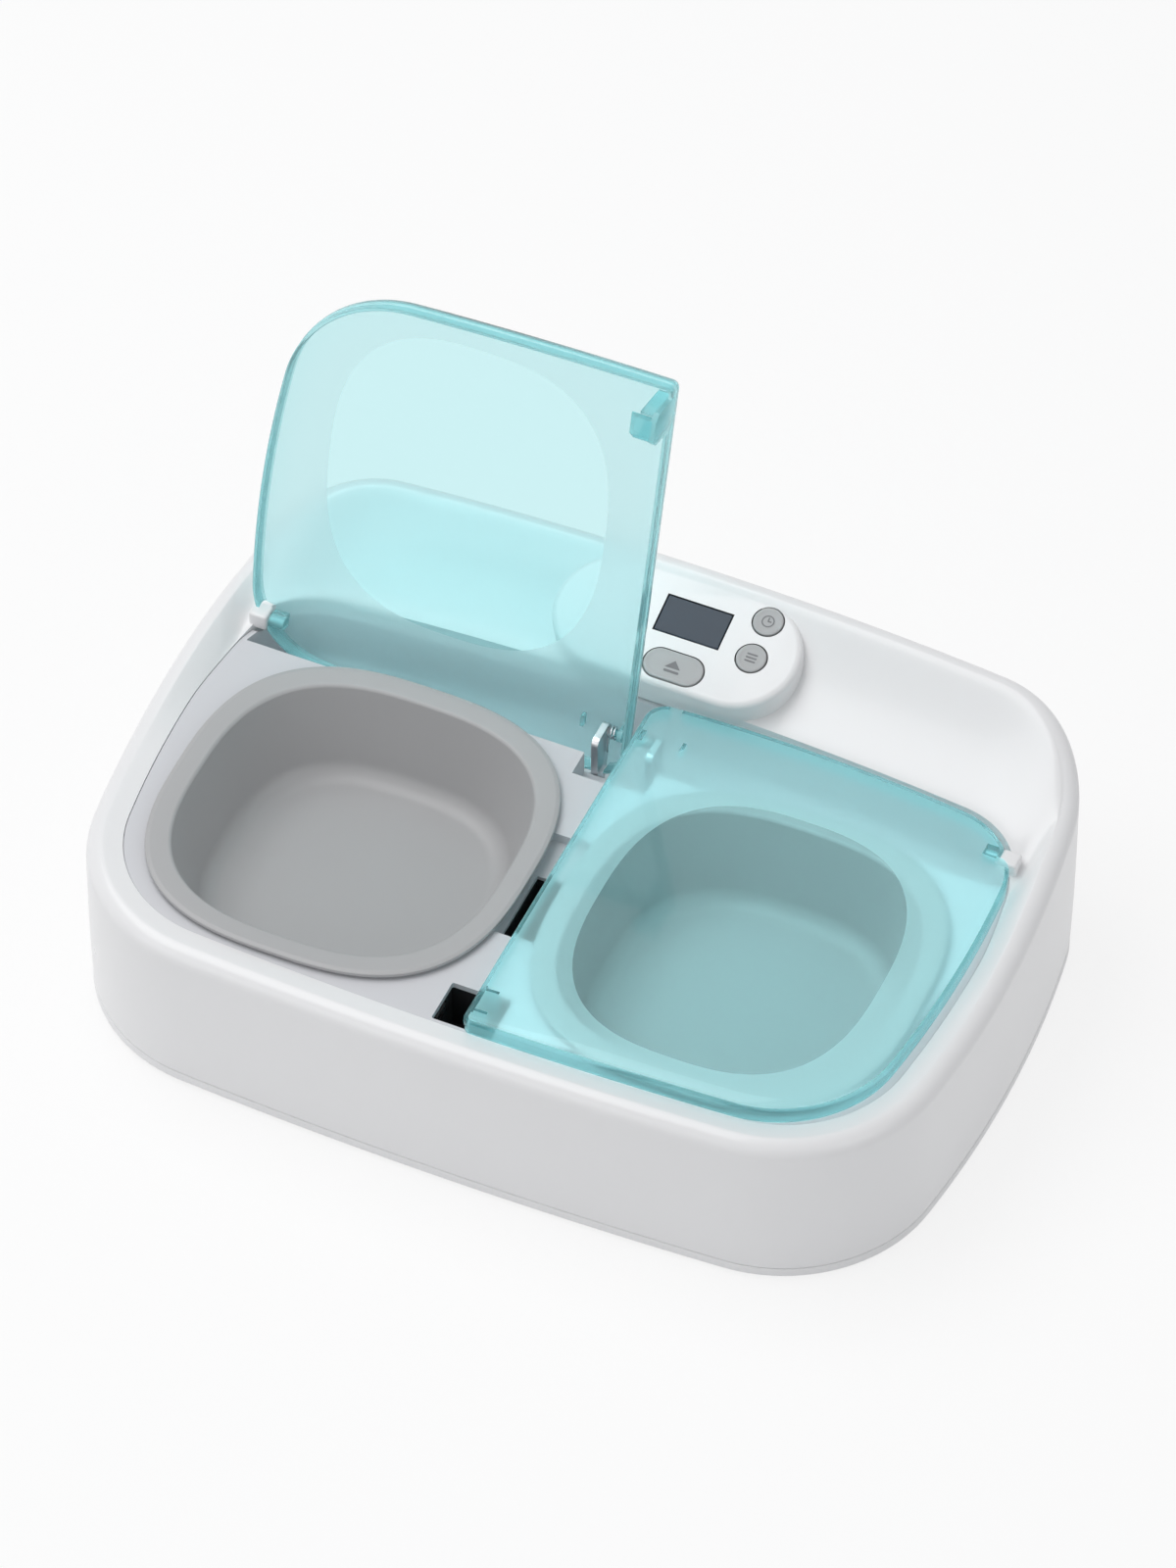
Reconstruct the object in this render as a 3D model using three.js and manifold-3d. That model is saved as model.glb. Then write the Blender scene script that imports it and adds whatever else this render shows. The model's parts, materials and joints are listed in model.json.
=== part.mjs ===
// Refrigerated two-bowl pet feeder: a low rounded housing with a raised back, two lift-out bowls in
// chilled wells, two sprung lids on one hinge line, and a control console on the back slope.
// Millimetres, +X to the right, +Y to the back, +Z up, standing on its feet at Z = 0.
import * as THREE from 'three';
import { mergeVertices } from 'three/addons/utils/BufferGeometryUtils.js';
import Module from 'manifold-3d';

const wasm = await Module();
wasm.setup();

// Clearances
const touch = 0.3;
const slide = 0.5;
const overrun = 4;

// Housing
const bodyHalfWidth = 177;
const bodyHalfDepth = 122;
const sideCentreY = 3;
const sideRadius = 460;
const frontRadius = 1900;
const backRadius = 1700;
const frontCornerRadius = 65;
const backCornerRadius = 51;
const rimHeight = 74.5;
const crestHeight = 104.5;
const crestRun = 64;
const crestFlat = 4;
const crestStartY = bodyHalfDepth - crestRun;
const crestEndY = bodyHalfDepth - crestFlat;
const rimRadius = 6.5;
const bodyTaper = 0.8;
const taperTop = 52;
const shellBottom = 6.3;
const shellWall = 2.8;
const skinDrop = 3;

// Opening in the housing that the deck fills
const openingInset = 14;
const backSlopeDepth = 48.3;
const openingHalfWidth = bodyHalfWidth - openingInset;
const openingFront = bodyHalfDepth - openingInset;
const openingBack = bodyHalfDepth - backSlopeDepth;
const openingBackRadius = 1300;
const openingBackCornerRadius = 36;
const slopeFootHeight = 79;
const slopeFootRun = 28;
const slopeFootFlat = 11.7;
const slopeFootEndY = openingBack - slopeFootFlat;
const slopeFootStartY = slopeFootEndY - slopeFootRun;
const openingLip = 5;

// Hinge line, parallel to X
const hingeToBack = 24.5;
const hingeY = openingBack - hingeToBack;
const hingeZ = 77;
const hingePinRadius = 1.5;
const hingeLugRadius = 2.8;
const earRadius = 3;
const earX = 9.6;
const earThickness = 3;
const earDepth = 10;
const earFrontY = hingeY - earDepth;
const pivotReach = 11.5;
const pivotX = openingHalfWidth - pivotReach;
const pivotHalfSize = 4;
const pivotClear = 6.3;
const outerLugLength = 6.5;
const outerLugNear = pivotX - outerLugLength;

// Deck tray
const deckTop = 73;
const deckThickness = 2.5;
const deckRimRound = 0.6;
const trayWall = 1.8;

// Bowls: they fill the deck between its side walls, the front wall and the hinge line
const bowlMiddleMargin = 6.5;
const bowlSideMargin = 10.5;
const bowlFrontMargin = 4.2;
const bowlHingeMargin = 6.4;
const bowlHalfWidth = (openingHalfWidth - bowlSideMargin - bowlMiddleMargin) / 2;
const bowlHalfDepth = (openingFront + hingeY - bowlFrontMargin - bowlHingeMargin) / 2;
const bowlX = bowlMiddleMargin + bowlHalfWidth;
const bowlY = hingeY - bowlHingeMargin - bowlHalfDepth;
const bowlPower = 2.76;
const bowlSteps = 38;
const bowlTop = 76.5;
const bowlRimWidth = 9.8;
const bowlWall = 1.8;
const bowlDepth = 38.5;
const bowlWallLean = 10;

// Lids
const lidSideInset = 16.3;
const lidFrontInset = 13;
const lidCornerInset = 14;
const lidTop = 82.5;
const lidWall = 2.2;
const lidEdgeRadius = 2.6;
const lidCrown = 0.9;
const lidSkirt = 8.6;
const lidSkirtWall = 2;
const lidInnerX = 1;
const lidBackMargin = 5.3;
const lidBack = openingBack - lidBackMargin;
const lidBackRadius = 700;
const lidBackPeakX = 50;
const lidBackCornerRadius = 33;
const lidInnerFrontRadius = 3.2;
const lidInnerBackRadius = 9;
const lidOpenDegrees = 105;

// Console on the back slope
const consoleHalfWidth = 50;
const consoleDepth = 48.8;
const consoleTiltDegrees = 16;
const consoleLead = 5.7;
const consoleFrontY = openingBack - consoleLead;
const consoleBelowCrest = 14.7;
const consoleFrontZ = crestHeight - consoleBelowCrest;
const consoleSkin = 2.2;
const consoleWall = 1.5;
const consoleDrop = 16.4;
const consoleEdgeRadius = 1.6;

const tilt = THREE.MathUtils.degToRad(consoleTiltDegrees);
const openAngle = THREE.MathUtils.degToRad(lidOpenDegrees);

const group = new THREE.Group();

// Materials, one per finish; every mesh gets its own copy
const finishes = {
  white: { color: 0xf4f4f2, roughness: 0.3, metalness: 0 },
  deck: { color: 0xd3d6d7, roughness: 0.5, metalness: 0 },
  bowl: { color: 0xa6a7a9, roughness: 0.45, metalness: 0 },
  lid: { color: 0x8fd0d6, roughness: 0.15, metalness: 0, transparent: true, opacity: 0.55 },
  button: { color: 0xb4b7b8, roughness: 0.55, metalness: 0 },
  glass: { color: 0x47525e, roughness: 0.1, metalness: 0 },
  black: { color: 0x1c1e20, roughness: 0.6, metalness: 0 },
  rubber: { color: 0x8b8f92, roughness: 0.9, metalness: 0 },
  steel: { color: 0xb8bcc0, roughness: 0.3, metalness: 1 },
  ear: { color: 0xbfc2c6, roughness: 0.35, metalness: 0.8 },
  aluminium: { color: 0xc9ccd0, roughness: 0.35, metalness: 1 },
  foam: { color: 0xe9e6dc, roughness: 0.95, metalness: 0 },
  board: { color: 0x2f6b45, roughness: 0.6, metalness: 0 },
  ceramic: { color: 0xf0f0ee, roughness: 0.7, metalness: 0 },
  copper: { color: 0xb9763f, roughness: 0.4, metalness: 1 },
};

const addPart = (name, geometry, finish, parent = group) => {
  const mesh = new THREE.Mesh(geometry, new THREE.MeshStandardMaterial(finishes[finish]));
  mesh.name = name;
  parent.add(mesh);
  return mesh;
};

// Solid arithmetic
const toSolid = (geometry) => {
  const bare = geometry.clone();
  bare.deleteAttribute('normal');
  bare.deleteAttribute('uv');
  const merged = mergeVertices(bare);
  const index = merged.index ?? bare.index;
  return new wasm.Manifold(new wasm.Mesh({
    numProp: 3,
    vertProperties: Float32Array.from(merged.attributes.position.array),
    triVerts: Uint32Array.from(index.array),
  }));
};

const fromSolid = (solid) => {
  const mesh = solid.getMesh();
  const geometry = new THREE.BufferGeometry();
  geometry.setAttribute('position', new THREE.BufferAttribute(Float32Array.from(mesh.vertProperties), 3));
  geometry.setIndex(new THREE.BufferAttribute(Uint32Array.from(mesh.triVerts), 1));
  geometry.computeVertexNormals();
  return geometry;
};

const join = (first, ...others) => others.reduce((sum, one) => sum.add(toSolid(one)), toSolid(first));
const cut = (solid, ...tools) => tools.reduce((rest, one) => rest.subtract(toSolid(one)), solid);

// Simple blocks given by their low and high corners
const block = (low, high) => {
  const size = high.map((value, axis) => value - low[axis]);
  const geometry = new THREE.BoxGeometry(...size);
  return geometry.translate(...size.map((value, axis) => low[axis] + value / 2));
};

const rodAlong = (axis, radius, from, to, sides = 24) => {
  const geometry = new THREE.CylinderGeometry(radius, radius, Math.abs(to - from), sides);
  if (axis === 'x') {
    geometry.rotateZ(-Math.PI / 2);
  }
  if (axis === 'z') {
    geometry.rotateX(Math.PI / 2);
  }
  const middle = (from + to) / 2;
  return geometry.translate(axis === 'x' ? middle : 0, axis === 'y' ? middle : 0, axis === 'z' ? middle : 0);
};

// A closed skin through rings with equal point counts, listed outside-up and inside-down.
// With loop set the last ring joins the first, otherwise both ends are closed by a fan.
const skin = (rings, loop) => {
  const count = rings[0].length;
  const points = rings.flat(2);
  const faces = [];
  const last = loop ? rings.length : rings.length - 1;
  for (let level = 0; level < last; level += 1) {
    const lower = level * count;
    const upper = ((level + 1) % rings.length) * count;
    for (let step = 0; step < count; step += 1) {
      const next = (step + 1) % count;
      faces.push(lower + step, lower + next, upper + next);
      faces.push(lower + step, upper + next, upper + step);
    }
  }
  if (!loop) {
    [0, rings.length - 1].forEach((level) => {
      const ring = rings[level];
      const centre = [0, 1, 2].map((axis) => ring.reduce((sum, point) => sum + point[axis], 0) / count);
      const hub = points.length / 3;
      points.push(...centre);
      for (let step = 0; step < count; step += 1) {
        const here = level * count + step;
        const next = level * count + ((step + 1) % count);
        faces.push(...(level === 0 ? [hub, next, here] : [hub, here, next]));
      }
    });
  }
  const geometry = new THREE.BufferGeometry();
  geometry.setAttribute('position', new THREE.Float32BufferAttribute(points, 3));
  geometry.setIndex(faces);
  geometry.computeVertexNormals();
  return geometry;
};

const mix = THREE.MathUtils.lerp;
const blendBetween = (value, low, high) => THREE.MathUtils.smoothstep(value, low, high);

// Arcs in plan
const arc = (centre, radius, from, to, steps) => Array.from({ length: steps + 1 }, (_, step) => {
  const angle = mix(from, to, step / steps);
  return new THREE.Vector2(centre.x + radius * Math.cos(angle), centre.y + radius * Math.sin(angle));
});

// Centre of the corner circle that touches two larger circles from inside
const cornerCentre = (first, firstRadius, second, secondRadius, radius, side) => {
  const reachFirst = firstRadius - radius;
  const reachSecond = secondRadius - radius;
  const apart = first.distanceTo(second);
  const along = (reachFirst ** 2 - reachSecond ** 2 + apart ** 2) / (2 * apart);
  const aside = Math.sqrt(Math.max(reachFirst ** 2 - along ** 2, 0));
  const unit = second.clone().sub(first).divideScalar(apart);
  const normal = new THREE.Vector2(-unit.y, unit.x);
  const base = first.clone().addScaledVector(unit, along);
  const options = [aside, -aside].map((value) => base.clone().addScaledVector(normal, value));
  return options.reduce((best, one) => (one.x + side * one.y > best.x + side * best.y ? one : best));
};

// Segments in each stretch of the outline: end arc, corner, side
const outlineSteps = { end: 4, corner: 7, side: 3 };

// One end of the right-hand half outline, from the side's widest point to the middle of the end
const quarterOutline = (side, halfWidth, reach, sideR, endR, cornerR, inset, centreX = 0) => {
  const flank = new THREE.Vector2(halfWidth - sideR, sideCentreY);
  const end = new THREE.Vector2(centreX, side * (reach - endR));
  const corner = cornerCentre(flank, sideR, end, endR, cornerR, side);
  const leave = Math.atan2(corner.y - flank.y, corner.x - flank.x);
  const meet = Math.atan2(corner.y - end.y, corner.x - end.x);
  return [
    ...arc(flank, sideR - inset, 0, leave, outlineSteps.side),
    ...arc(corner, cornerR - inset, leave, meet, outlineSteps.corner).slice(1),
    ...arc(end, endR - inset, meet, side * Math.PI / 2, outlineSteps.end).slice(1),
  ];
};

const wholeOutline = (front, back) => {
  const right = [...front.slice().reverse(), ...back.slice(1)];
  const left = right.slice(1, -1).reverse().map((point) => new THREE.Vector2(-point.x, point.y));
  return [...right, ...left];
};

const bodyOutline = (inset) => wholeOutline(
  quarterOutline(-1, bodyHalfWidth, bodyHalfDepth, sideRadius, frontRadius, frontCornerRadius, inset),
  quarterOutline(1, bodyHalfWidth, bodyHalfDepth, sideRadius, backRadius, backCornerRadius, inset),
);

// The opening keeps the body's front and sides and has its own back
const openingOutline = (inset) => wholeOutline(
  quarterOutline(-1, bodyHalfWidth, bodyHalfDepth, sideRadius, frontRadius, frontCornerRadius,
    openingInset + inset),
  quarterOutline(1, openingHalfWidth, openingBack, sideRadius - openingInset, openingBackRadius,
    openingBackCornerRadius, inset),
);

const atHeight = (outline, z) => outline.map((point) => [point.x, point.y, z]);

const prism = (outline, low, high) => skin([atHeight(outline, low), atHeight(outline, high)], false);

// Housing shell: one moulded skin that goes up the outside, over the rim and down to the deck
const crestAt = (y) => mix(rimHeight, crestHeight, blendBetween(y, crestStartY, crestEndY));
const footAt = (y) => mix(deckTop + touch, slopeFootHeight, blendBetween(y, slopeFootStartY, slopeFootEndY));
const slopeShares = [0.05, 0.13, 0.27, 0.45, 0.7, 1];
const undersideShares = [0.7, 0.35];
const slopeHollow = 1.6;
const slopeTurnShare = 0.06;
const crestSteps = 4;

const outsideProfile = (height) => {
  const lean = 1 - Math.min((height - shellBottom) / (taperTop - shellBottom), 1);
  return bodyTaper * lean ** 2;
};

// Height share left on the slope: rounded off at the crest, then hollow down to the foot
const slopeFall = (share) => {
  const run = ((1 + slopeTurnShare) * share ** 2) / (share + slopeTurnShare);
  return Math.max(1 - run, 0) ** slopeHollow;
};

const shellRings = () => {
  const rings = [];
  const outer = (inset, heights) => rings.push(bodyOutline(inset).map((point, step) => [
    point.x, point.y, heights[step],
  ]));
  const crest = bodyOutline(rimRadius);
  const foot = openingOutline(0);
  const crestZ = crest.map((point) => crestAt(point.y));
  const footZ = foot.map((point) => footAt(point.y));
  const level = (value) => crest.map(() => value);
  const sideShares = [0, 0.4, 1];
  sideShares.forEach((share) => {
    const height = mix(shellBottom, taperTop, share);
    outer(outsideProfile(height), level(height));
  });
  for (let step = 0; step <= crestSteps; step += 1) {
    const angle = (Math.PI / 2) * (step / crestSteps);
    outer(rimRadius * (1 - Math.cos(angle)), crestZ.map((z) => z - rimRadius * (1 - Math.sin(angle))));
  }
  const slope = (share, drop, footRing) => crest.map((point, step) => {
    const fall = slopeFall(share);
    return [
      mix(point.x, footRing[step].x, share),
      mix(point.y, footRing[step].y, share),
      mix(footZ[step], crestZ[step], fall) - drop,
    ];
  });
  slopeShares.forEach((share) => rings.push(slope(share, 0, foot)));
  rings.push(foot.map((point) => [point.x, point.y, deckTop - openingLip]));
  const footBack = foot.map((point, step) => {
    const gap = Math.hypot(crest[step].x - point.x, crest[step].y - point.y);
    const share = shellWall / gap;
    return { x: mix(point.x, crest[step].x, share), y: mix(point.y, crest[step].y, share) };
  });
  rings.push(footBack.map((point) => [point.x, point.y, deckTop - openingLip]));
  rings.push(slope(1, skinDrop, footBack));
  undersideShares.forEach((share) => rings.push(slope(share, skinDrop, footBack)));
  outer(rimRadius - touch, crestZ.map((z) => z - skinDrop));
  outer(shellWall, crestZ.map((z) => z - rimRadius - shellWall));
  outer(shellWall, level(taperTop - overrun));
  outer(shellWall + bodyTaper, level(shellBottom));
  return rings;
};

// Console: a stadium with a rounded edge, standing on the slope in its own tilted frame
const stadium = (halfWidth, depth, inset, middle, steps = 12) => {
  const radius = depth / 2;
  const reach = halfWidth - radius;
  const right = arc(new THREE.Vector2(reach, middle), radius - inset, -Math.PI / 2, Math.PI / 2, steps);
  const left = arc(new THREE.Vector2(-reach, middle), radius - inset, Math.PI / 2, 1.5 * Math.PI, steps);
  return [...right, ...left];
};

const consoleRing = (inset, height) => atHeight(
  stadium(consoleHalfWidth, consoleDepth, inset, consoleDepth / 2), height);

const toConsole = (geometry) => geometry.rotateX(tilt).translate(0, consoleFrontY, consoleFrontZ);

const consoleOuter = () => {
  const rings = [consoleRing(0, -consoleDrop)];
  const edgeSteps = 3;
  for (let step = 0; step <= edgeSteps; step += 1) {
    const angle = (Math.PI / 2) * (step / edgeSteps);
    rings.push(consoleRing(
      consoleEdgeRadius * (1 - Math.cos(angle)),
      -consoleEdgeRadius * (1 - Math.sin(angle)),
    ));
  }
  return toConsole(skin(rings, false));
};

const consoleCavity = () => toConsole(skin([
  consoleRing(consoleWall, -consoleDrop - overrun * 3),
  consoleRing(consoleWall, -consoleSkin),
], false));

// Console layout, in its own frame: x across, y up the slope
const windowX = 4.5;
const windowY = 29.5;
const windowHalfWidth = 13.7;
const windowHalfHeight = 8.2;
const windowThickness = 1.2;
const windowLedge = 1.2;
const openButtonX = 5;
const openButtonY = 8.9;
const openButtonHalfWidth = 12;
const openButtonDepth = 12.4;
const roundButtonX = 31.5;
const roundButtonRadius = 5.9;
const timerButtonY = 39.2;
const setButtonY = 22.5;
const roundButtonPlaces = { timer_button: timerButtonY, set_button: setButtonY };
const buttonGap = 0.4;
const buttonRise = 0.7;
const buttonFlange = 0.8;
const buttonFlangeThickness = 1;
const buttonTravel = 1;

const consolePostShares = [[-0.76, 0.5], [-0.4, 0.174], [0.852, 0.615]];
const consolePosts = consolePostShares.map(([across, up]) => [across * consoleHalfWidth, up * consoleDepth]);
const consolePostRadius = 1.4;
const consolePostLength = 7.5;

const openButtonOutline = (grow) => stadium(
  openButtonHalfWidth + grow, openButtonDepth + 2 * grow, 0, 0, 8);

const roundOutline = (radius) => arc(new THREE.Vector2(), radius, 0, 2 * Math.PI, 24).slice(1);

const rectangle = (halfWidth, halfHeight) => [
  new THREE.Vector2(-halfWidth, -halfHeight),
  new THREE.Vector2(halfWidth, -halfHeight),
  new THREE.Vector2(halfWidth, halfHeight),
  new THREE.Vector2(-halfWidth, halfHeight),
];

const throughSkin = (outline, x, y) => toConsole(
  prism(outline, -consoleSkin - overrun, overrun).translate(x, y, 0));

const consoleCuts = () => [
  toConsole(prism(rectangle(windowHalfWidth, windowHalfHeight), -windowThickness - touch, overrun)
    .translate(windowX, windowY, 0)),
  throughSkin(rectangle(windowHalfWidth - windowLedge, windowHalfHeight - windowLedge), windowX, windowY),
  throughSkin(openButtonOutline(buttonGap), openButtonX, openButtonY),
  ...Object.values(roundButtonPlaces).map((y) => throughSkin(
    roundOutline(roundButtonRadius + buttonGap), roundButtonX, y)),
];

// Outer pivot blocks, moulded on the inner wall where the hinge line meets it
const pivotBlock = (side) => {
  const inner = side * pivotX;
  const outer = side * (openingHalfWidth - touch);
  return block(
    [Math.min(inner, outer), hingeY - pivotHalfSize, hingeZ - pivotHalfSize],
    [Math.max(inner, outer), hingeY + pivotHalfSize, hingeZ + pivotHalfSize],
  );
};

const pinBore = (side, radius, from, to) => rodAlong('x', radius, side * from, side * to)
  .translate(0, hingeY, hingeZ);

// Rear air outlet and inlet socket in the back wall
const outletInset = 113;
const outletX = outletInset - bodyHalfWidth;
const outletHalfWidth = 26;
const outletSlots = 9;
const outletSlotWidth = 2.4;
const outletLow = 12;
const outletHigh = 30;
const socketInset = 81;
const socketX = bodyHalfWidth - socketInset;
const socketZ = 18;
const socketWallY = bodyHalfDepth - backRadius + Math.sqrt(backRadius ** 2 - socketX ** 2);
const socketRadius = 4.4;

const backWallCuts = () => {
  const cuts = [];
  const pitch = (2 * outletHalfWidth) / (outletSlots - 1);
  for (let slot = 0; slot < outletSlots; slot += 1) {
    const x = outletX - outletHalfWidth + slot * pitch;
    cuts.push(block(
      [x - outletSlotWidth / 2, bodyHalfDepth - shellWall - 2 * overrun, outletLow],
      [x + outletSlotWidth / 2, bodyHalfDepth + overrun, outletHigh],
    ));
  }
  cuts.push(rodAlong('y', socketRadius, socketWallY - shellWall - overrun, bodyHalfDepth + overrun)
    .translate(socketX, 0, socketZ));
  return cuts;
};

const postHoles = (low, high, grow) => consolePosts.map(([x, y]) => rodAlong(
  'z', consolePostRadius + grow, low, high, 16).translate(x, y, 0));

const buildShell = () => {
  const raised = join(skin(shellRings(), true), consoleOuter(), pivotBlock(1), pivotBlock(-1));
  const posts = postHoles(-consoleSkin - consolePostLength, touch - consoleSkin, 0).map(toConsole);
  const bores = [1, -1].map((side) => pinBore(side, hingePinRadius + touch, pivotX - overrun,
    openingHalfWidth - overrun));
  const hollow = cut(raised, consoleCavity(), ...consoleCuts(), ...bores, ...backWallCuts());
  return fromSolid(posts.reduce((sum, one) => sum.add(toSolid(one)), hollow));
};

addPart('outer_shell', buildShell(), 'white');

// Base cover with a locating lip, screw posts, foot seats and air inlets
const baseBottom = 1.5;
const baseSeam = shellBottom - touch;
const baseFloor = 4.5;
const baseInset = bodyTaper;
const baseRound = 1.2;
const baseLipInset = shellWall + bodyTaper + slide;
const baseLipWall = 2;
const baseLipTop = 11;
const footSideInset = 49;
const footEndInset = 36;
const footX = bodyHalfWidth - footSideInset;
const footY = bodyHalfDepth - footEndInset;
const footRadius = 7;
const footHeight = 2.7;
const postInset = 11;
const postForward = 64.2;
const backPostInset = 51;
const backPostForward = 17.7;
const postX = openingHalfWidth - postInset;
const postY = hingeY - postForward;
const backPostX = openingHalfWidth - backPostInset;
const backPostY = openingBack - backPostForward;
const postRadius = 4;
const screwRadius = 1.5;
const screwHeadRadius = 3.2;
const screwHeadHeight = 2;
const screwLength = 14;
const corners = { front_left: [-1, -1], front_right: [1, -1], back_left: [-1, 1], back_right: [1, 1] };

const troughDepth = 21;
const troughFloor = deckTop - troughDepth;
const postPlace = (sideX, sideY) => (sideY < 0
  ? [sideX * postX, postY, deckTop - deckThickness - touch]
  : [sideX * backPostX, backPostY, troughFloor - trayWall - touch]);

const buildBase = () => {
  const rings = [
    atHeight(bodyOutline(baseInset + baseRound), baseBottom),
    atHeight(bodyOutline(baseInset + touch), baseBottom + baseRound),
    atHeight(bodyOutline(baseInset), baseSeam),
    atHeight(bodyOutline(baseLipInset), baseSeam),
    atHeight(bodyOutline(baseLipInset), baseLipTop),
    atHeight(bodyOutline(baseLipInset + baseLipWall), baseLipTop),
    atHeight(bodyOutline(baseLipInset + baseLipWall), baseFloor),
  ];
  let base = toSolid(skin(rings, false));
  Object.values(corners).forEach(([sideX, sideY]) => {
    const [x, y, top] = postPlace(sideX, sideY);
    base = base.add(toSolid(rodAlong('z', postRadius, baseBottom + touch, top, 16).translate(x, y, 0)));
    base = cut(
      base,
      rodAlong('z', screwRadius + touch, baseBottom - overrun, baseBottom + screwLength + overrun, 16)
        .translate(x, y, 0),
      rodAlong('z', screwHeadRadius + touch, baseBottom - overrun, baseBottom + screwHeadHeight + touch, 16)
        .translate(x, y, 0),
      rodAlong('z', footRadius + touch, baseBottom - overrun, footHeight + touch)
        .translate(sideX * footX, sideY * footY, 0),
    );
  });
  return fromSolid(cut(base, ...baseVents()));
};

const ventSlots = 7;
const ventPitch = 7;
const ventSlotWidth = 3;
const ventHalfLength = 22;

const ventField = (x, y, count, halfLength) => Array.from({ length: count }, (_, slot) => {
  const middle = x + (slot - (count - 1) / 2) * ventPitch;
  return block(
    [middle - ventSlotWidth / 2, y - halfLength, baseBottom - overrun],
    [middle + ventSlotWidth / 2, y + halfLength, baseFloor + overrun],
  );
});

const fanX = outletX;
const fanToBack = 32;
const fanY = bodyHalfDepth - fanToBack;
const fanHalfSize = 20;
const fanHeight = 12;
const fanBore = 18.5;

const baseVents = () => [
  ...ventField(-bowlX, bowlY, ventSlots, ventHalfLength),
  ...ventField(bowlX, bowlY, ventSlots, ventHalfLength),
];

addPart('base_cover', buildBase(), 'white');

Object.entries(corners).forEach(([corner, [sideX, sideY]]) => {
  const foot = rodAlong('z', footRadius, 0, footHeight);
  const mesh = addPart(`foot_${corner}`, foot, 'rubber');
  mesh.position.set(sideX * footX, sideY * footY, 0);
  const [x, y] = postPlace(sideX, sideY);
  const head = rodAlong('z', screwHeadRadius, touch, screwHeadHeight, 16);
  const shank = rodAlong('z', screwRadius, screwHeadHeight - touch, screwLength, 16);
  const screw = addPart(`base_screw_${corner}`, fromSolid(join(head, shank)), 'steel');
  screw.position.set(x, y, baseBottom);
});

// Deck tray: deck plate, hinge trough with a centre pocket, finger recess and latch slot
const wellInset = bowlRimWidth - bowlWall - slide;
const troughLead = 10.4;
const troughFront = hingeY - troughLead;
const pocketHalfWidth = 15;
const pocketLead = 11.5;
const pocketFront = troughFront - pocketLead;
const pocketFloor = 62;
const recessHalfWidth = 10.5;
const recessHalfLength = 27.2;
const recessFront = bowlY - recessHalfLength;
const recessBack = bowlY + recessHalfLength;
const recessFloor = 68.6;
const recessSlotHalfWidth = 7;
const recessSlotLength = 35.5;
const recessSlotBack = recessFront + recessSlotLength;
const latchSlotHalfWidth = 12.3;
const latchSlotMargin = 1.7;
const latchSlotLength = 19.1;
const latchSlotFront = latchSlotMargin - openingFront;
const latchSlotBack = latchSlotFront + latchSlotLength;

const bowlRing = (inset, side) => Array.from({ length: bowlSteps }, (_, step) => {
  const angle = (2 * Math.PI * step) / bowlSteps;
  const reach = (value) => Math.sign(value) * Math.abs(value) ** (2 / bowlPower);
  return new THREE.Vector2(
    side * bowlX + (bowlHalfWidth - inset) * reach(Math.cos(angle)),
    bowlY + (bowlHalfDepth - inset) * reach(Math.sin(angle)),
  );
});

const clipBehind = (geometry, y) => toSolid(geometry).intersect(toSolid(block(
  [-bodyHalfWidth, y, -overrun], [bodyHalfWidth, bodyHalfDepth, crestHeight])));

const buildTray = () => {
  const plate = skin([
    atHeight(openingOutline(slide), deckTop - deckThickness),
    atHeight(openingOutline(slide), deckTop - deckRimRound),
    atHeight(openingOutline(slide + deckRimRound), deckTop),
  ], false);
  let tray = toSolid(plate);
  const trough = prism(openingOutline(slide), troughFloor - trayWall, deckTop - deckRimRound);
  tray = tray.add(clipBehind(trough, troughFront - trayWall));
  tray = tray.add(toSolid(block(
    [-pocketHalfWidth - trayWall, pocketFront - trayWall, pocketFloor - trayWall],
    [pocketHalfWidth + trayWall, troughFront, deckTop - deckRimRound],
  )));
  tray = tray.add(toSolid(block(
    [-recessHalfWidth - trayWall, recessFront - trayWall, recessFloor - trayWall],
    [recessHalfWidth + trayWall, recessBack + trayWall, deckTop - deckRimRound],
  )));
  const cavity = prism(openingOutline(slide + trayWall), troughFloor, deckTop + overrun);
  tray = tray.subtract(clipBehind(cavity, troughFront));
  return fromSolid(cut(
    tray,
    block(
      [-pocketHalfWidth, pocketFront, pocketFloor],
      [pocketHalfWidth, troughFront + trayWall, deckTop + overrun],
    ),
    block(
      [-recessHalfWidth, recessFront, recessFloor],
      [recessHalfWidth, recessBack, deckTop + overrun],
    ),
    block(
      [-recessSlotHalfWidth, recessFront, recessFloor - overrun],
      [recessSlotHalfWidth, recessSlotBack, deckTop],
    ),
    block(
      [-latchSlotHalfWidth, latchSlotFront, deckTop - deckThickness - overrun],
      [latchSlotHalfWidth, latchSlotBack, deckTop + overrun],
    ),
    ...[1, -1].map((side) => prism(bowlRing(wellInset, side), deckTop - deckThickness - overrun,
      deckTop + overrun)),
    ...[1, -1].map((side) => rodAlong('x', pivotClear, side * (pivotX - slide), side * bodyHalfWidth)
      .translate(0, hingeY, hingeZ)),
  ));
};

addPart('deck_tray', buildTray(), 'deck');

// Bowls: a rolled flat rim, leaning walls and a rounded floor
const flangeRound = 1.2;
const bowlFloorRound = 6;
const flangeBottom = deckTop + touch;
const bowlFloor = bowlTop - bowlDepth;

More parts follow.
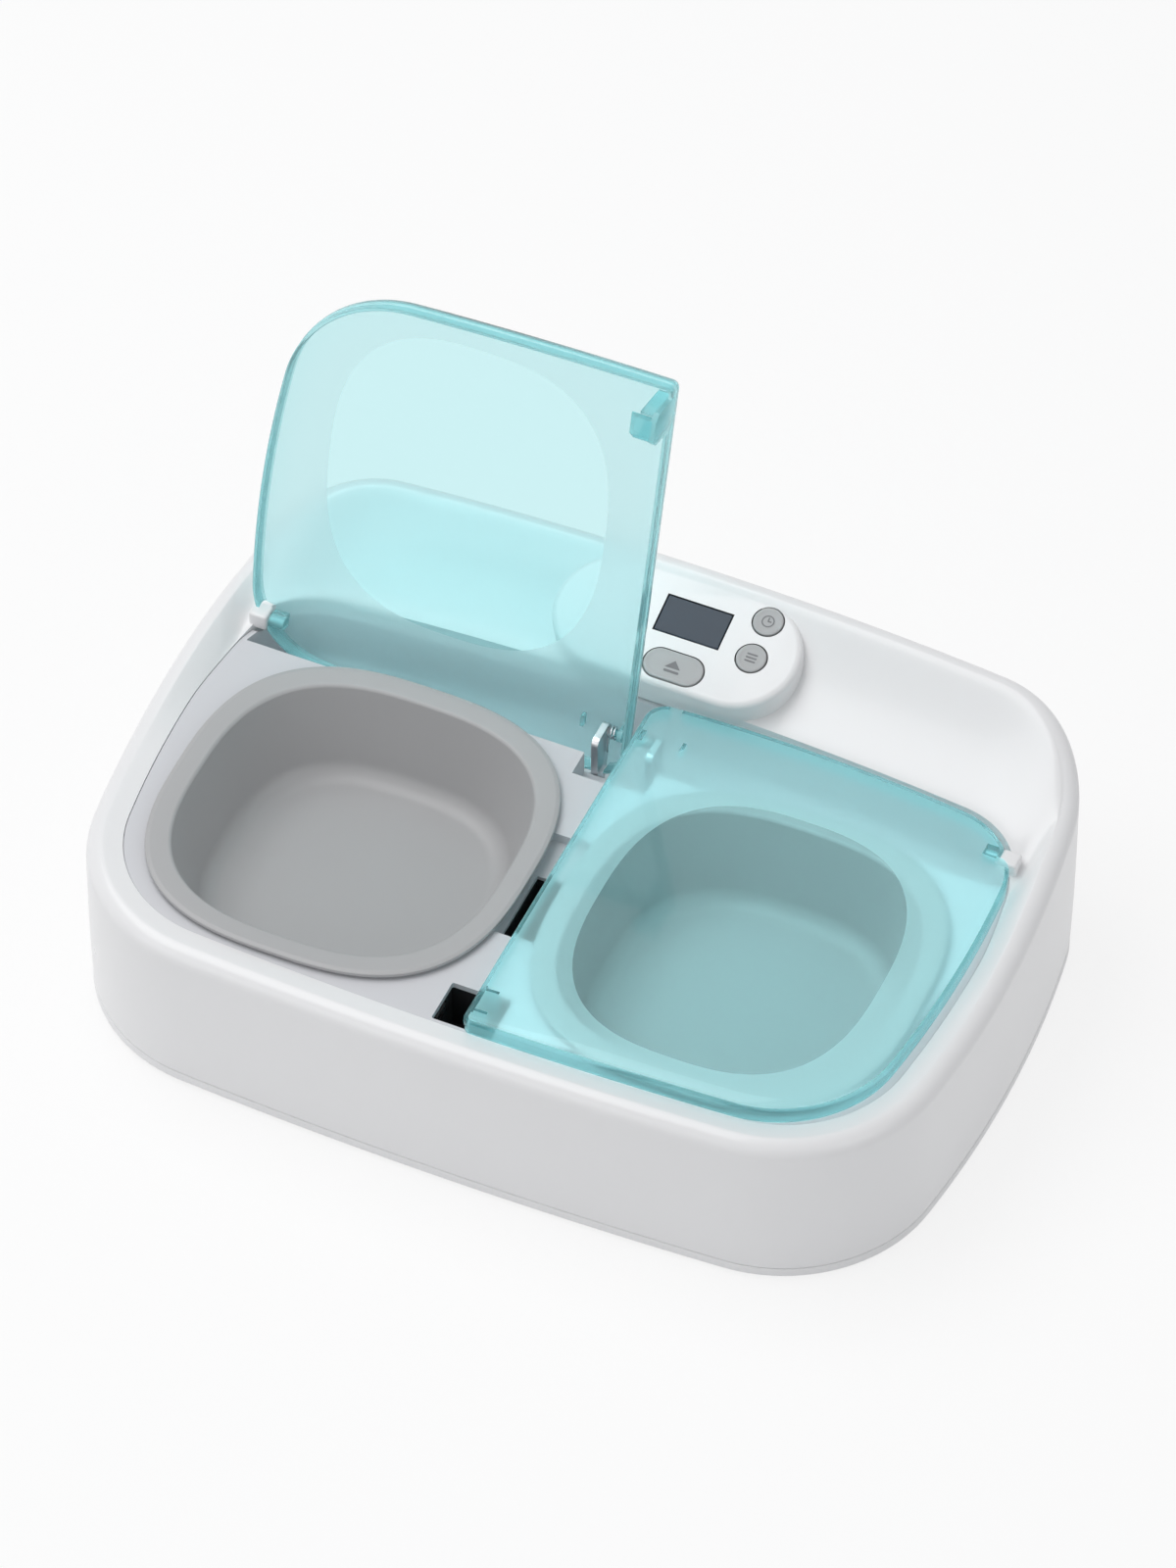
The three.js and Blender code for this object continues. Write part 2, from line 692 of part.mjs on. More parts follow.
const bowlRings = (side) => {
  const ring = (inset, z) => atHeight(bowlRing(inset, side), z);
  const outside = bowlRimWidth - bowlWall;
  const under = bowlFloor - bowlWall;
  return [
    ring(outside + bowlWallLean + bowlFloorRound, under),
    ring(outside + bowlWallLean, under + bowlFloorRound / 2),
    ring(outside, flangeBottom),
    ring(flangeRound, flangeBottom),
    ring(0, flangeBottom + flangeRound / 2),
    ring(0, bowlTop - flangeRound),
    ring(flangeRound, bowlTop),
    ring(bowlRimWidth - flangeRound, bowlTop - flangeRound / 2),
    ring(bowlRimWidth, bowlTop - 2 * flangeRound),
    ring(bowlRimWidth + bowlWallLean, bowlFloor + bowlFloorRound / 2),
    ring(bowlRimWidth + bowlWallLean + bowlFloorRound, bowlFloor),
  ];
};

// Chilled wells: spun metal cups a running gap outside the bowls, cooled from below
const wellGap = 0.8;
const wellWall = 1;
const wellFloorThickness = 2;
const wellTop = deckTop - deckThickness - touch;
const wellFloor = bowlFloor - bowlWall - wellGap;
const wellUnder = wellFloor - wellFloorThickness;

const wellRings = (side) => {
  const ring = (inset, z) => atHeight(bowlRing(inset, side), z);
  const inner = bowlRimWidth - bowlWall - wellGap;
  const outer = inner - wellWall;
  return [
    ring(outer + bowlWallLean + bowlFloorRound, wellUnder),
    ring(outer + bowlWallLean, wellUnder + bowlFloorRound / 2),
    ring(outer, wellTop),
    ring(inner, wellTop),
    ring(inner + bowlWallLean, wellFloor + bowlFloorRound / 2),
    ring(inner + bowlWallLean + bowlFloorRound, wellFloor),
  ];
};

// Foam cups round the lower half of each well, open below for the cooling module
const foamWall = 4;
const foamTop = 52;
const foamUnder = wellUnder - foamWall;
const moduleHalfSize = 20;

const wellOuterInsetAt = (z) => {
  const base = wellUnder + bowlFloorRound / 2;
  return bowlRimWidth - bowlWall - wellGap - wellWall
    + bowlWallLean * (1 - (z - base) / (wellTop - base));
};

const buildFoam = (side) => {
  const ring = (inset, z) => atHeight(bowlRing(inset, side), z);
  const base = wellUnder + bowlFloorRound / 2;
  const rings = [
    ring(wellOuterInsetAt(base) + bowlFloorRound - foamWall, foamUnder),
    ring(wellOuterInsetAt(base) - foamWall, base - foamWall / 2),
    ring(wellOuterInsetAt(foamTop) - foamWall, foamTop),
    ring(wellOuterInsetAt(foamTop) - slide, foamTop),
    ring(wellOuterInsetAt(base) - slide, base - slide),
    ring(wellOuterInsetAt(base) + bowlFloorRound - slide, wellUnder - slide),
  ];
  const hole = block(
    [side * bowlX - moduleHalfSize - touch, bowlY - moduleHalfSize - touch, foamUnder - overrun],
    [side * bowlX + moduleHalfSize + touch, bowlY + moduleHalfSize + touch, wellFloor],
  );
  return fromSolid(cut(toSolid(skin(rings, false)), hole));
};

// Heat sinks: a base plate with straight fins, pressed against the hot side of the module
const moduleThickness = foamWall - touch;
const sinkHalfWidth = 36;
const sinkHalfDepth = 26;
const sinkPlate = 3;
const sinkFins = 9;
const finThickness = 1.6;
const finDrop = 12;
const sinkTop = wellUnder - touch - moduleThickness - touch;

const buildSink = (side) => {
  const plate = block(
    [side * bowlX - sinkHalfWidth, bowlY - sinkHalfDepth, sinkTop - sinkPlate],
    [side * bowlX + sinkHalfWidth, bowlY + sinkHalfDepth, sinkTop],
  );
  const fins = Array.from({ length: sinkFins }, (_, fin) => {
    const share = fin / (sinkFins - 1);
    const reach = sinkHalfWidth - finThickness / 2;
    const x = side * bowlX + mix(-reach, reach, share);
    return block(
      [x - finThickness / 2, bowlY - sinkHalfDepth, sinkTop - sinkPlate - finDrop],
      [x + finThickness / 2, bowlY + sinkHalfDepth, sinkTop - sinkPlate / 2],
    );
  });
  return fromSolid(join(plate, ...fins));
};

const buildModule = (side) => block(
  [side * bowlX - moduleHalfSize, bowlY - moduleHalfSize, wellUnder - touch - moduleThickness],
  [side * bowlX + moduleHalfSize, bowlY + moduleHalfSize, wellUnder - touch],
);

// Lids: translucent plates with a rounded edge and a skirt, straight where the two meet
const lidSteps = { front: 4, corner: 7, side: 4, back: 5, small: 3 };

const lidOutline = (inset) => {
  const flank = new THREE.Vector2(bodyHalfWidth - sideRadius, sideCentreY);
  const flankR = sideRadius - lidSideInset;
  const front = new THREE.Vector2(0, frontRadius - bodyHalfDepth);
  const frontR = frontRadius - lidFrontInset;
  const back = new THREE.Vector2(lidBackPeakX, lidBack - lidBackRadius);
  const frontCornerR = frontCornerRadius - lidCornerInset;
  const frontCorner = cornerCentre(flank, flankR, front, frontR, frontCornerR, -1);
  const backCorner = cornerCentre(flank, flankR, back, lidBackRadius, lidBackCornerRadius, 1);
  const angleFrom = (from, to) => Math.atan2(to.y - from.y, to.x - from.x);
  // Small circles at the two inner corners touch the straight edge and the long arcs
  const innerCorner = (centre, reach, radius, side) => {
    const x = lidInnerX + radius;
    const rise = Math.sqrt((reach - radius) ** 2 - (x - centre.x) ** 2);
    return new THREE.Vector2(x, centre.y + side * rise);
  };
  const innerFront = innerCorner(front, frontR, lidInnerFrontRadius, -1);
  const innerBack = innerCorner(back, lidBackRadius, lidInnerBackRadius, 1);
  const frontStart = angleFrom(front, innerFront);
  const frontEnd = angleFrom(front, frontCorner);
  const sideStart = angleFrom(flank, frontCorner);
  const sideEnd = angleFrom(flank, backCorner);
  const backStart = angleFrom(back, backCorner);
  const backEnd = angleFrom(back, innerBack);
  return [
    ...arc(innerFront, lidInnerFrontRadius - inset, -Math.PI, frontStart, lidSteps.small),
    ...arc(front, frontR - inset, frontStart, frontEnd, lidSteps.front).slice(1),
    ...arc(frontCorner, frontCornerR - inset, frontEnd, sideStart, lidSteps.corner).slice(1),
    ...arc(flank, flankR - inset, sideStart, sideEnd, lidSteps.side).slice(1),
    ...arc(backCorner, lidBackCornerRadius - inset, sideEnd, backStart, lidSteps.corner).slice(1),
    ...arc(back, lidBackRadius - inset, backStart, backEnd, lidSteps.back).slice(1),
    ...arc(innerBack, lidInnerBackRadius - inset, backEnd, Math.PI, lidSteps.small).slice(1),
  ];
};

const lidCrownShares = [0.35, 0.7];

const lidRings = () => {
  const ring = (inset, z) => atHeight(lidOutline(inset), z);
  const middle = new THREE.Vector2(bowlX, bowlY);
  const crowned = (inset, z, share) => ring(inset, z).map(([x, y]) => [
    mix(x, middle.x, share), mix(y, middle.y, share), z + lidCrown * (1 - (1 - share) ** 2),
  ]);
  const rings = [ring(lidSkirtWall, lidTop - lidSkirt), ring(0, lidTop - lidSkirt)];
  const edgeSteps = 3;
  for (let step = 0; step <= edgeSteps; step += 1) {
    const angle = (Math.PI / 2) * (step / edgeSteps);
    rings.push(ring(
      lidEdgeRadius * (1 - Math.cos(angle)),
      lidTop - lidEdgeRadius * (1 - Math.sin(angle)),
    ));
  }
  lidCrownShares.forEach((share) => rings.push(crowned(lidEdgeRadius, lidTop, share)));
  const under = lidCrownShares.slice().reverse()
    .map((share) => crowned(lidSkirtWall, lidTop - lidWall, share));
  return { outside: rings, inside: [...under, ring(lidSkirtWall, lidTop - lidWall)] };
};

// The lid's skin is two stacks of rings: over the top to its middle, and back out underneath
const lidSkin = () => {
  const { outside, inside } = lidRings();
  const top = toSolid(skin([...outside.slice(1)], false));
  const hollow = toSolid(skin([
    outside[0].map(([x, y, z]) => [x, y, z - overrun]),
    inside[inside.length - 1],
    ...inside.slice(0, -1).reverse(),
  ], false));
  return top.subtract(hollow);
};

// Hook under the inner front corner: a stem with a barb that the latch slides over
const catchNear = 3.2;
const catchFar = 12;
const latchInset = 11;
const latchY = latchInset - openingFront;
const latchZ = 65.5;
const latchHalfWidth = 4;
const latchHalfHeight = 2;
const catchHalfLength = 7;
const catchFront = latchY - catchHalfLength;
const catchBack = latchY + catchHalfLength;
const catchBottom = 60;
const catchReach = 3.2;
const innerLugNear = 3.4;
const innerLugFar = 5.2;
const skirtNotchNear = earX - slide * 2;
const skirtNotchFar = earX + earThickness + slide * 2;

const buildLid = (side) => {
  const under = lidTop - lidWall + touch;
  let lid = lidSkin();
  lid = cut(
    lid,
    rodAlong('x', pivotClear, pivotX - slide, bodyHalfWidth).translate(0, hingeY, hingeZ),
    block(
      [skirtNotchNear, earFrontY, lidTop - lidSkirt - overrun],
      [skirtNotchFar, lidBack + overrun, under - 2 * touch],
    ),
  );
  const lug = (near, far) => [
    rodAlong('x', hingeLugRadius, near, far).translate(0, hingeY, hingeZ),
    block([near, hingeY - hingeLugRadius, hingeZ], [far, hingeY + hingeLugRadius, under]),
  ];
  const additions = [
    ...lug(innerLugNear, innerLugFar),
    rodAlong('x', hingePinRadius, innerLugNear + touch, earX + earThickness + slide)
      .translate(0, hingeY, hingeZ),
    ...lug(outerLugNear, pivotX - slide),
    block([catchNear, catchFront, catchBottom], [catchFar - catchReach, catchBack, under]),
    block([catchNear, catchFront, catchBottom], [catchFar, catchBack, latchZ - latchHalfHeight - slide]),
  ];
  additions.forEach((one) => {
    lid = lid.add(toSolid(one));
  });
  lid = cut(
    lid,
    rodAlong('x', hingePinRadius + touch, outerLugNear + touch, pivotX + overrun)
      .translate(0, hingeY, hingeZ),
  );
  return side > 0 ? lid : lid.mirror([1, 0, 0]);
};

// Ears stand in the trough and carry the inner pins; their backs lean clear of the open lid
const buildEar = (side) => {
  const low = troughFloor + touch;
  const lean = new THREE.Vector2(Math.sin(openAngle), Math.cos(openAngle));
  const tangent = new THREE.Vector2(hingeY + earRadius * lean.x, hingeZ + earRadius * lean.y);
  const fall = (tangent.y - low) / lean.x;
  const profile = [
    new THREE.Vector2(earFrontY, low),
    new THREE.Vector2(tangent.x + fall * lean.y, low),
    ...arc(new THREE.Vector2(hingeY, hingeZ), earRadius, openAngle * -1 + Math.PI / 2, Math.PI / 2, 8),
    new THREE.Vector2(earFrontY + earRadius, hingeZ + earRadius),
    new THREE.Vector2(earFrontY, hingeZ),
  ];
  const near = earX + touch / 2;
  const far = earX + earThickness - touch / 2;
  const plate = skin([near, far].map((x) => profile.map((point) => [x, point.x, point.y])), false);
  const footing = block(
    [near, earFrontY, low],
    [far + earFoot, tangent.x + fall * lean.y, low + earFootThickness],
  );
  const ear = cut(
    join(plate, footing),
    rodAlong('x', hingePinRadius + touch, 0, earX + earThickness + overrun).translate(0, hingeY, hingeZ),
  );
  return fromSolid(side > 0 ? ear : ear.mirror([1, 0, 0]));
};
const earFoot = 5;
const earFootThickness = 2;

// Torsion springs: one unbroken wire round each inner pin, with a leg to the ear's footing
const springTurns = 2.5;
const springWire = 0.4;
const springRadius = 2.35;
const springPitch = 1.25;
const springStart = earX - 0.6;
const springLeg = 9;
const springSides = 5;
const springStepsPerTurn = 8;

const sweepWire = (points, radius) => {
  const curve = new THREE.CatmullRomCurve3(points, false, 'centripetal');
  const section = new THREE.Shape(arc(new THREE.Vector2(), radius, 0, 2 * Math.PI, springSides).slice(1));
  const steps = points.length - 1;
  return new THREE.ExtrudeGeometry(section, { steps, extrudePath: curve, bevelEnabled: false });
};

const springPoints = () => {
  const points = [];
  const steps = springTurns * springStepsPerTurn;
  for (let step = 0; step <= steps; step += 1) {
    const angle = (2 * Math.PI * step) / springStepsPerTurn - Math.PI;
    points.push(new THREE.Vector3(
      springStart - springPitch * (step / springStepsPerTurn),
      hingeY + springRadius * Math.cos(angle),
      hingeZ + springRadius * Math.sin(angle),
    ));
  }
  const first = points[0];
  points.unshift(new THREE.Vector3(first.x, first.y, first.z - springLeg / 2));
  points.unshift(new THREE.Vector3(first.x, first.y, first.z - springLeg));
  return points;
};

const buildSpring = (side) => {
  const points = springPoints().map((point) => new THREE.Vector3(side * point.x, point.y, point.z));
  return sweepWire(points, springWire);
};

const leastGap = (points, radius, apart) => {
  let least = Infinity;
  points.forEach((one, here) => points.slice(here + apart).forEach((other) => {
    least = Math.min(least, one.distanceTo(other));
  }));
  return least - 2 * radius;
};
const finePoints = new THREE.CatmullRomCurve3(springPoints(), false, 'centripetal').getPoints(240);
console.log('lid spring, least gap to itself in mm:',
  leastGap(finePoints, springWire, Math.round(240 / (springTurns + 1) / 2)).toFixed(2));

// Latch frame under the latch slot, two sliding latches and their solenoids
const frameHalfWidth = 16;
const frameBottom = 48;
const solenoidRadius = 4.6;
const solenoidLength = 17;
const solenoidEndShare = 0.47;
const solenoidFar = bowlX - solenoidEndShare * bowlHalfWidth;
const solenoidNear = solenoidFar - solenoidLength;
const shelfThickness = 2.5;
const shelfMargin = 1;
const shelfHalfWidth = solenoidFar + shelfMargin;
const latchTip = catchFar + slide;
const latchNoseFar = 17.5;
const plungerDepth = 6;
const latchShaftFar = solenoidNear + plungerDepth;
const latchShaftRadius = 1.6;

const buildLatchFrame = () => {
  const top = deckTop - deckThickness - touch;
  const front = latchSlotFront - slide;
  const back = latchSlotBack + slide;
  const shelfTop = latchZ - solenoidRadius - touch;
  const body = join(
    block([-frameHalfWidth, front - trayWall / 2, frameBottom], [frameHalfWidth, back + trayWall, top]),
    block(
      [-shelfHalfWidth, latchY - solenoidRadius, shelfTop - shelfThickness],
      [shelfHalfWidth, latchY + solenoidRadius, shelfTop],
    ),
  );
  const windowGap = 2 * touch;
  return fromSolid(cut(
    body,
    block(
      [-latchSlotHalfWidth - slide, front, frameBottom + trayWall],
      [latchSlotHalfWidth + slide, back, top + overrun],
    ),
    block(
      [-frameHalfWidth - overrun, latchY - latchHalfWidth - windowGap, latchZ - latchHalfHeight - windowGap],
      [frameHalfWidth + overrun, latchY + latchHalfWidth + windowGap, latchZ + latchHalfHeight + windowGap],
    ),
  ));
};

const buildLatch = (side) => {
  const nose = block(
    [latchTip, latchY - latchHalfWidth, latchZ - latchHalfHeight],
    [latchNoseFar, latchY + latchHalfWidth, latchZ + latchHalfHeight],
  );
  const shaft = rodAlong('x', latchShaftRadius, latchNoseFar - touch, latchShaftFar, 16)
    .translate(0, latchY, latchZ);
  const latch = join(nose, shaft);
  return fromSolid(side > 0 ? latch : latch.mirror([1, 0, 0]));
};

const buildSolenoid = (side) => {
  const coil = rodAlong('x', solenoidRadius, solenoidNear, solenoidFar).translate(0, latchY, latchZ);
  const bore = rodAlong('x', latchShaftRadius + touch, solenoidNear - overrun, latchShaftFar + slide, 16)
    .translate(0, latchY, latchZ);
  const solid = cut(toSolid(coil), bore);
  return fromSolid(side > 0 ? solid : solid.mirror([1, 0, 0]));
};

addPart('latch_frame', buildLatchFrame(), 'black');

// Air duct below the finger recess
const ductWall = 1.4;
const ductHalfWidth = recessSlotHalfWidth + ductWall;
const ductBottom = 44;

const buildDuct = () => {
  const top = recessFloor - trayWall - touch;
  const body = block(
    [-ductHalfWidth, recessFront - ductWall, ductBottom],
    [ductHalfWidth, recessSlotBack + ductWall, top],
  );
  return fromSolid(cut(toSolid(body), block(
    [-recessSlotHalfWidth, recessFront, ductBottom + ductWall],
    [recessSlotHalfWidth, recessSlotBack, top + overrun],
  )));
};

addPart('air_duct', buildDuct(), 'black');

// Paired parts
const sides = { left: -1, right: 1 };

Object.entries(sides).forEach(([name, side]) => {
  addPart(`${name}_bowl`, skin(bowlRings(side), false), 'bowl');
  addPart(`${name}_well`, skin(wellRings(side), false), 'aluminium');
  addPart(`${name}_insulation`, buildFoam(side), 'foam');
  addPart(`${name}_cooling_module`, buildModule(side), 'ceramic');
  addPart(`${name}_heat_sink`, buildSink(side), 'aluminium');
  addPart(`${name}_hinge_ear`, buildEar(side), 'ear');
  addPart(`${name}_latch`, buildLatch(side), 'steel');
  addPart(`${name}_solenoid`, buildSolenoid(side), 'copper');
  const pin = rodAlong('x', hingePinRadius, side * (outerLugNear + 2 * touch),
    side * (openingHalfWidth - overrun - touch), 16);
  const pinMesh = addPart(`${name}_pivot_pin`, pin, 'steel');
  pinMesh.position.set(0, hingeY, hingeZ);
  // Each lid turns in its own group about the hinge line; the left one stands open
  const hinge = new THREE.Group();
  hinge.position.set(0, hingeY, hingeZ);
  hinge.rotation.x = side < 0 ? -openAngle : 0;
  group.add(hinge);
  const aroundHinge = (geometry) => geometry.translate(0, -hingeY, -hingeZ);
  addPart(`${name}_lid`, aroundHinge(fromSolid(buildLid(side))), 'lid', hinge);
  addPart(`${name}_lid_spring`, buildSpring(side), 'steel');
});

// Fan in the back bay, blowing up from the base to the outlet slots
const fanBottom = baseFloor + touch;
const hubRadius = 6;
const hubBoss = 3;
const bladeCount = 7;
const bladeThickness = 1.2;
const bladePitchDegrees = 35;
const fanArm = 2.2;

const buildFanFrame = () => {
  const body = block(
    [fanX - fanHalfSize, fanY - fanHalfSize, fanBottom],
    [fanX + fanHalfSize, fanY + fanHalfSize, fanBottom + fanHeight],
  );
  const open = cut(toSolid(body), rodAlong('z', fanBore, 0, fanBottom + fanHeight + overrun, 32)
    .translate(fanX, fanY, 0));
  const arms = [0, Math.PI / 2].map((angle) => {
    const bar = block([-fanBore - touch, -fanArm / 2, 0], [fanBore + touch, fanArm / 2, fanArm]);
    return bar.rotateZ(angle).translate(fanX, fanY, fanBottom);
  });
  const boss = rodAlong('z', hubBoss, fanBottom, fanBottom + fanHeight / 2, 16).translate(fanX, fanY, 0);
  return fromSolid([...arms, boss].reduce((sum, one) => sum.add(toSolid(one)), open));
};

const buildFanRotor = () => {
  const low = fanArm + slide;
  const high = fanHeight - slide;
  let rotor = toSolid(rodAlong('z', hubRadius, low, high));
  for (let blade = 0; blade < bladeCount; blade += 1) {
    const span = fanBore - slide * 2 - hubRadius + touch * 3;
    const plate = new THREE.BoxGeometry(span, bladeThickness, high - low - fanArm);
    plate.rotateX(THREE.MathUtils.degToRad(bladePitchDegrees));
    plate.translate(hubRadius - touch * 3 + span / 2, 0, (low + high) / 2);
    plate.rotateZ((2 * Math.PI * blade) / bladeCount);
    rotor = rotor.add(toSolid(plate));
  }
  rotor = rotor.subtract(toSolid(rodAlong('z', hubBoss + slide, 0, fanHeight / 2 + slide, 16)));
  return fromSolid(rotor);
};

addPart('fan_frame', buildFanFrame(), 'black');
const rotorMesh = addPart('fan_rotor', buildFanRotor(), 'black');
rotorMesh.position.set(fanX, fanY, fanBottom);

// Main board and inlet socket behind the right bowl
const boardHalfWidth = 42;
const boardToFan = 22;
const boardX = fanX + fanHalfSize + boardToFan + boardHalfWidth;
const boardHalfDepth = 17;
const boardThickness = 1.6;
const boardBottom = 8;
const boardTop = boardBottom + boardThickness;
const standoffRadius = 3;
const chipHeight = 9;
const chipShares = [[-0.6, 0.1, 0.2, 0.3, 0.45], [0, -0.3, 0.14, 0.3, 0.67], [0.5, 0.2, 0.22, 0.4, 1]];

const buildMainBoard = () => {
  const plate = block(
    [boardX - boardHalfWidth, fanY - boardHalfDepth, boardBottom],
    [boardX + boardHalfWidth, fanY + boardHalfDepth, boardTop],
  );
  const chips = chipShares.map(([across, along, width, depth, height]) => {
    const x = boardX + across * boardHalfWidth;
    const y = fanY + along * boardHalfDepth;
    return block(
      [x - width * boardHalfWidth, y - depth * boardHalfDepth, boardTop - boardThickness / 2],
      [x + width * boardHalfWidth, y + depth * boardHalfDepth, boardTop + height * chipHeight],
    );
  });
  const legs = [-1, 1].map((way) => rodAlong('z', standoffRadius, baseFloor + touch, boardBottom + touch, 12)
    .translate(boardX + way * (boardHalfWidth - 2 * standoffRadius), fanY, 0));
  return fromSolid(join(plate, ...chips, ...legs));
};

addPart('main_board', buildMainBoard(), 'board');

const socketHalfWidth = 6;
const socketLength = 12;
const socketBoreRadius = 2.6;
const sleeveLength = 5.2;
const sleeveRecess = 0.9;
const sleeveEndY = socketWallY - sleeveRecess;
const socketFaceY = sleeveEndY - sleeveLength;

const buildSocket = () => {
  const y = socketFaceY;
  const body = join(
    block(
      [socketX - socketHalfWidth, y - socketLength, socketZ - socketHalfWidth],
      [socketX + socketHalfWidth, y, socketZ + socketHalfWidth],
    ),
    rodAlong('y', socketRadius - 2 * touch, y - touch, sleeveEndY).translate(socketX, 0, socketZ),
  );
  return fromSolid(cut(body, rodAlong('y', socketBoreRadius, y - socketLength / 2, bodyHalfDepth + overrun)
    .translate(socketX, 0, socketZ)));
};

addPart('power_socket', buildSocket(), 'black');

// Console pieces, in the console's own tilted frame
const panel = new THREE.Group();
panel.position.set(0, consoleFrontY, consoleFrontZ);
panel.rotation.x = tilt;
group.add(panel);

const windowLens = addPart('display_window', prism(
  rectangle(windowHalfWidth - touch, windowHalfHeight - touch), -windowThickness, 0), 'glass', panel);
windowLens.position.set(windowX, windowY, 0);

const buttonGeometry = (outline) => fromSolid(join(
  prism(outline(0), -consoleSkin - touch - buttonFlangeThickness, buttonRise),
  prism(outline(buttonFlange), -consoleSkin - touch - buttonFlangeThickness, -consoleSkin - touch),
));

const openButton = addPart('open_button', buttonGeometry(openButtonOutline), 'button', panel);
openButton.position.set(openButtonX, openButtonY, 0);

Object.entries(roundButtonPlaces).forEach(([name, y]) => {
  const outline = (grow) => roundOutline(roundButtonRadius + grow);
  const button = addPart(name, buttonGeometry(outline), 'button', panel);
  button.position.set(roundButtonX, y, 0);
});

// Silicone mat, circuit board and display module below the buttons
const matThickness = 1;
const matTop = -consoleSkin - touch - buttonFlangeThickness - buttonTravel - touch;
const controlBoardTop = matTop - matThickness - touch;
const displayTop = -windowThickness - 2 * touch - windowLedge;

const panelOutline = (inset) => stadium(
  consoleHalfWidth - consoleWall - inset, consoleDepth - 2 * (consoleWall + inset), 0, consoleDepth / 2);

const displayHole = (grow) => prism(
  rectangle(windowHalfWidth + grow, windowHalfHeight + grow), matTop - overrun, overrun)
  .translate(windowX, windowY, 0);

addPart('button_mat', fromSolid(cut(
  toSolid(prism(panelOutline(slide), matTop - matThickness, matTop)),
  displayHole(touch),
  ...postHoles(matTop - matThickness - overrun, matTop + overrun, touch),
)), 'rubber', panel);
addPart('control_board', fromSolid(cut(
  toSolid(prism(panelOutline(slide), controlBoardTop - boardThickness, controlBoardTop)),
  ...postHoles(controlBoardTop - overrun, controlBoardTop + overrun, touch),
)), 'board', panel);
addPart('display_module', prism(
  rectangle(windowHalfWidth, windowHalfHeight), controlBoardTop + touch, displayTop)
  .translate(windowX, windowY, 0), 'black', panel);

export default group;
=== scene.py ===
import json
from math import atan2, copysign, cos, dist, hypot, pi, radians, sin, sqrt, tan

import bmesh
import bpy
from mathutils import Matrix, Vector


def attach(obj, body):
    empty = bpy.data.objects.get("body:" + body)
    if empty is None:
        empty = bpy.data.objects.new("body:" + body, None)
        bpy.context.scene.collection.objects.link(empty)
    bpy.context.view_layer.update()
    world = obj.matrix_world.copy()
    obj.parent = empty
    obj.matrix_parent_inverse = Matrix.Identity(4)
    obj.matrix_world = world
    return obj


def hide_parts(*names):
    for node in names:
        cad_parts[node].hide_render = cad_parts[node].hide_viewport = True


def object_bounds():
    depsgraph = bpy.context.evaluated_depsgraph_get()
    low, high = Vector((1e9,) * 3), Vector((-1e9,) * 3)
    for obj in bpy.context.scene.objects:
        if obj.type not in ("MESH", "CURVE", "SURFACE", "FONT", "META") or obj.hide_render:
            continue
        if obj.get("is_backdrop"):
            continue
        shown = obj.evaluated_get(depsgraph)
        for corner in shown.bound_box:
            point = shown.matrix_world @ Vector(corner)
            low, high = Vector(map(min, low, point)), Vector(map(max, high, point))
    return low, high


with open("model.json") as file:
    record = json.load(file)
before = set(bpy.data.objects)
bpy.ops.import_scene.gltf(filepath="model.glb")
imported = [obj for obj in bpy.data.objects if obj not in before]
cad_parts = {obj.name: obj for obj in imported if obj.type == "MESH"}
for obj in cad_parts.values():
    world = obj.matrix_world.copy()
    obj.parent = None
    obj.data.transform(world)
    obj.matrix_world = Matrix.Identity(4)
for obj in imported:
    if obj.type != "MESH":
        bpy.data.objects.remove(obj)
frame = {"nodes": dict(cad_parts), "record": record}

cad_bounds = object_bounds()

# Lengths below are in millimetres and are turned into metres where a mesh is made
MM = 0.001

# Housing
BODY_HALF_WIDTH = 177
BODY_HALF_DEPTH = 122
SIDE_CENTRE_Y = 3
SIDE_RADIUS = 460
FRONT_RADIUS = 1900
BACK_RADIUS = 1700
FRONT_CORNER_RADIUS = 65
BACK_CORNER_RADIUS = 51
RIM_HEIGHT = 74.5
CREST_HEIGHT = 104.5
CREST_Y = (68, 118)
SIDE_RISE = 9
SIDE_RISE_Y = (-40, 80)
RIM_RADIUS = 6.5
BODY_TAPER = 0.8
TAPER_TOP = 52
SHELL_BOTTOM = 6.3
SEAM_ROUND = 0.6
SHELL_WALL = 2.8
SKIN_DROP = 3
BASE_BOTTOM = 1.5
BASE_SEAM = 6
BASE_FLOOR = 4.5
BASE_ROUND = 1.2
FLOOR_MARGIN = 30

# Opening, deck and trough
OPENING_INSET = 14
SIDE_DRAW = 2.4
SIDE_DRAW_Y = (0, 44, 54)
SIDE_DRAW_X = (105, 150)
OPENING_BACK = 73.7
OPENING_BACK_RADIUS = 1300
OPENING_BACK_CORNER_RADIUS = 36
SLOPE_FOOT_HEIGHT = 79
SLOPE_FOOT_Y = (34, 62)
OPENING_LIP = 5
DECK_TOP = 73
DECK_THICKNESS = 2.5
TRAY_WALL = 1.8
TROUGH_FRONT = 38.8
TROUGH_DEPTH = 21
SLOPE_HOLLOW = 1.6
SLOPE_HOLLOW_Y = (40, 90)
SLOPE_SPACING = 1.3
SLOPE_TURN_SHARE = 0.06
TOUCH = 0.3
SLIDE = 0.5

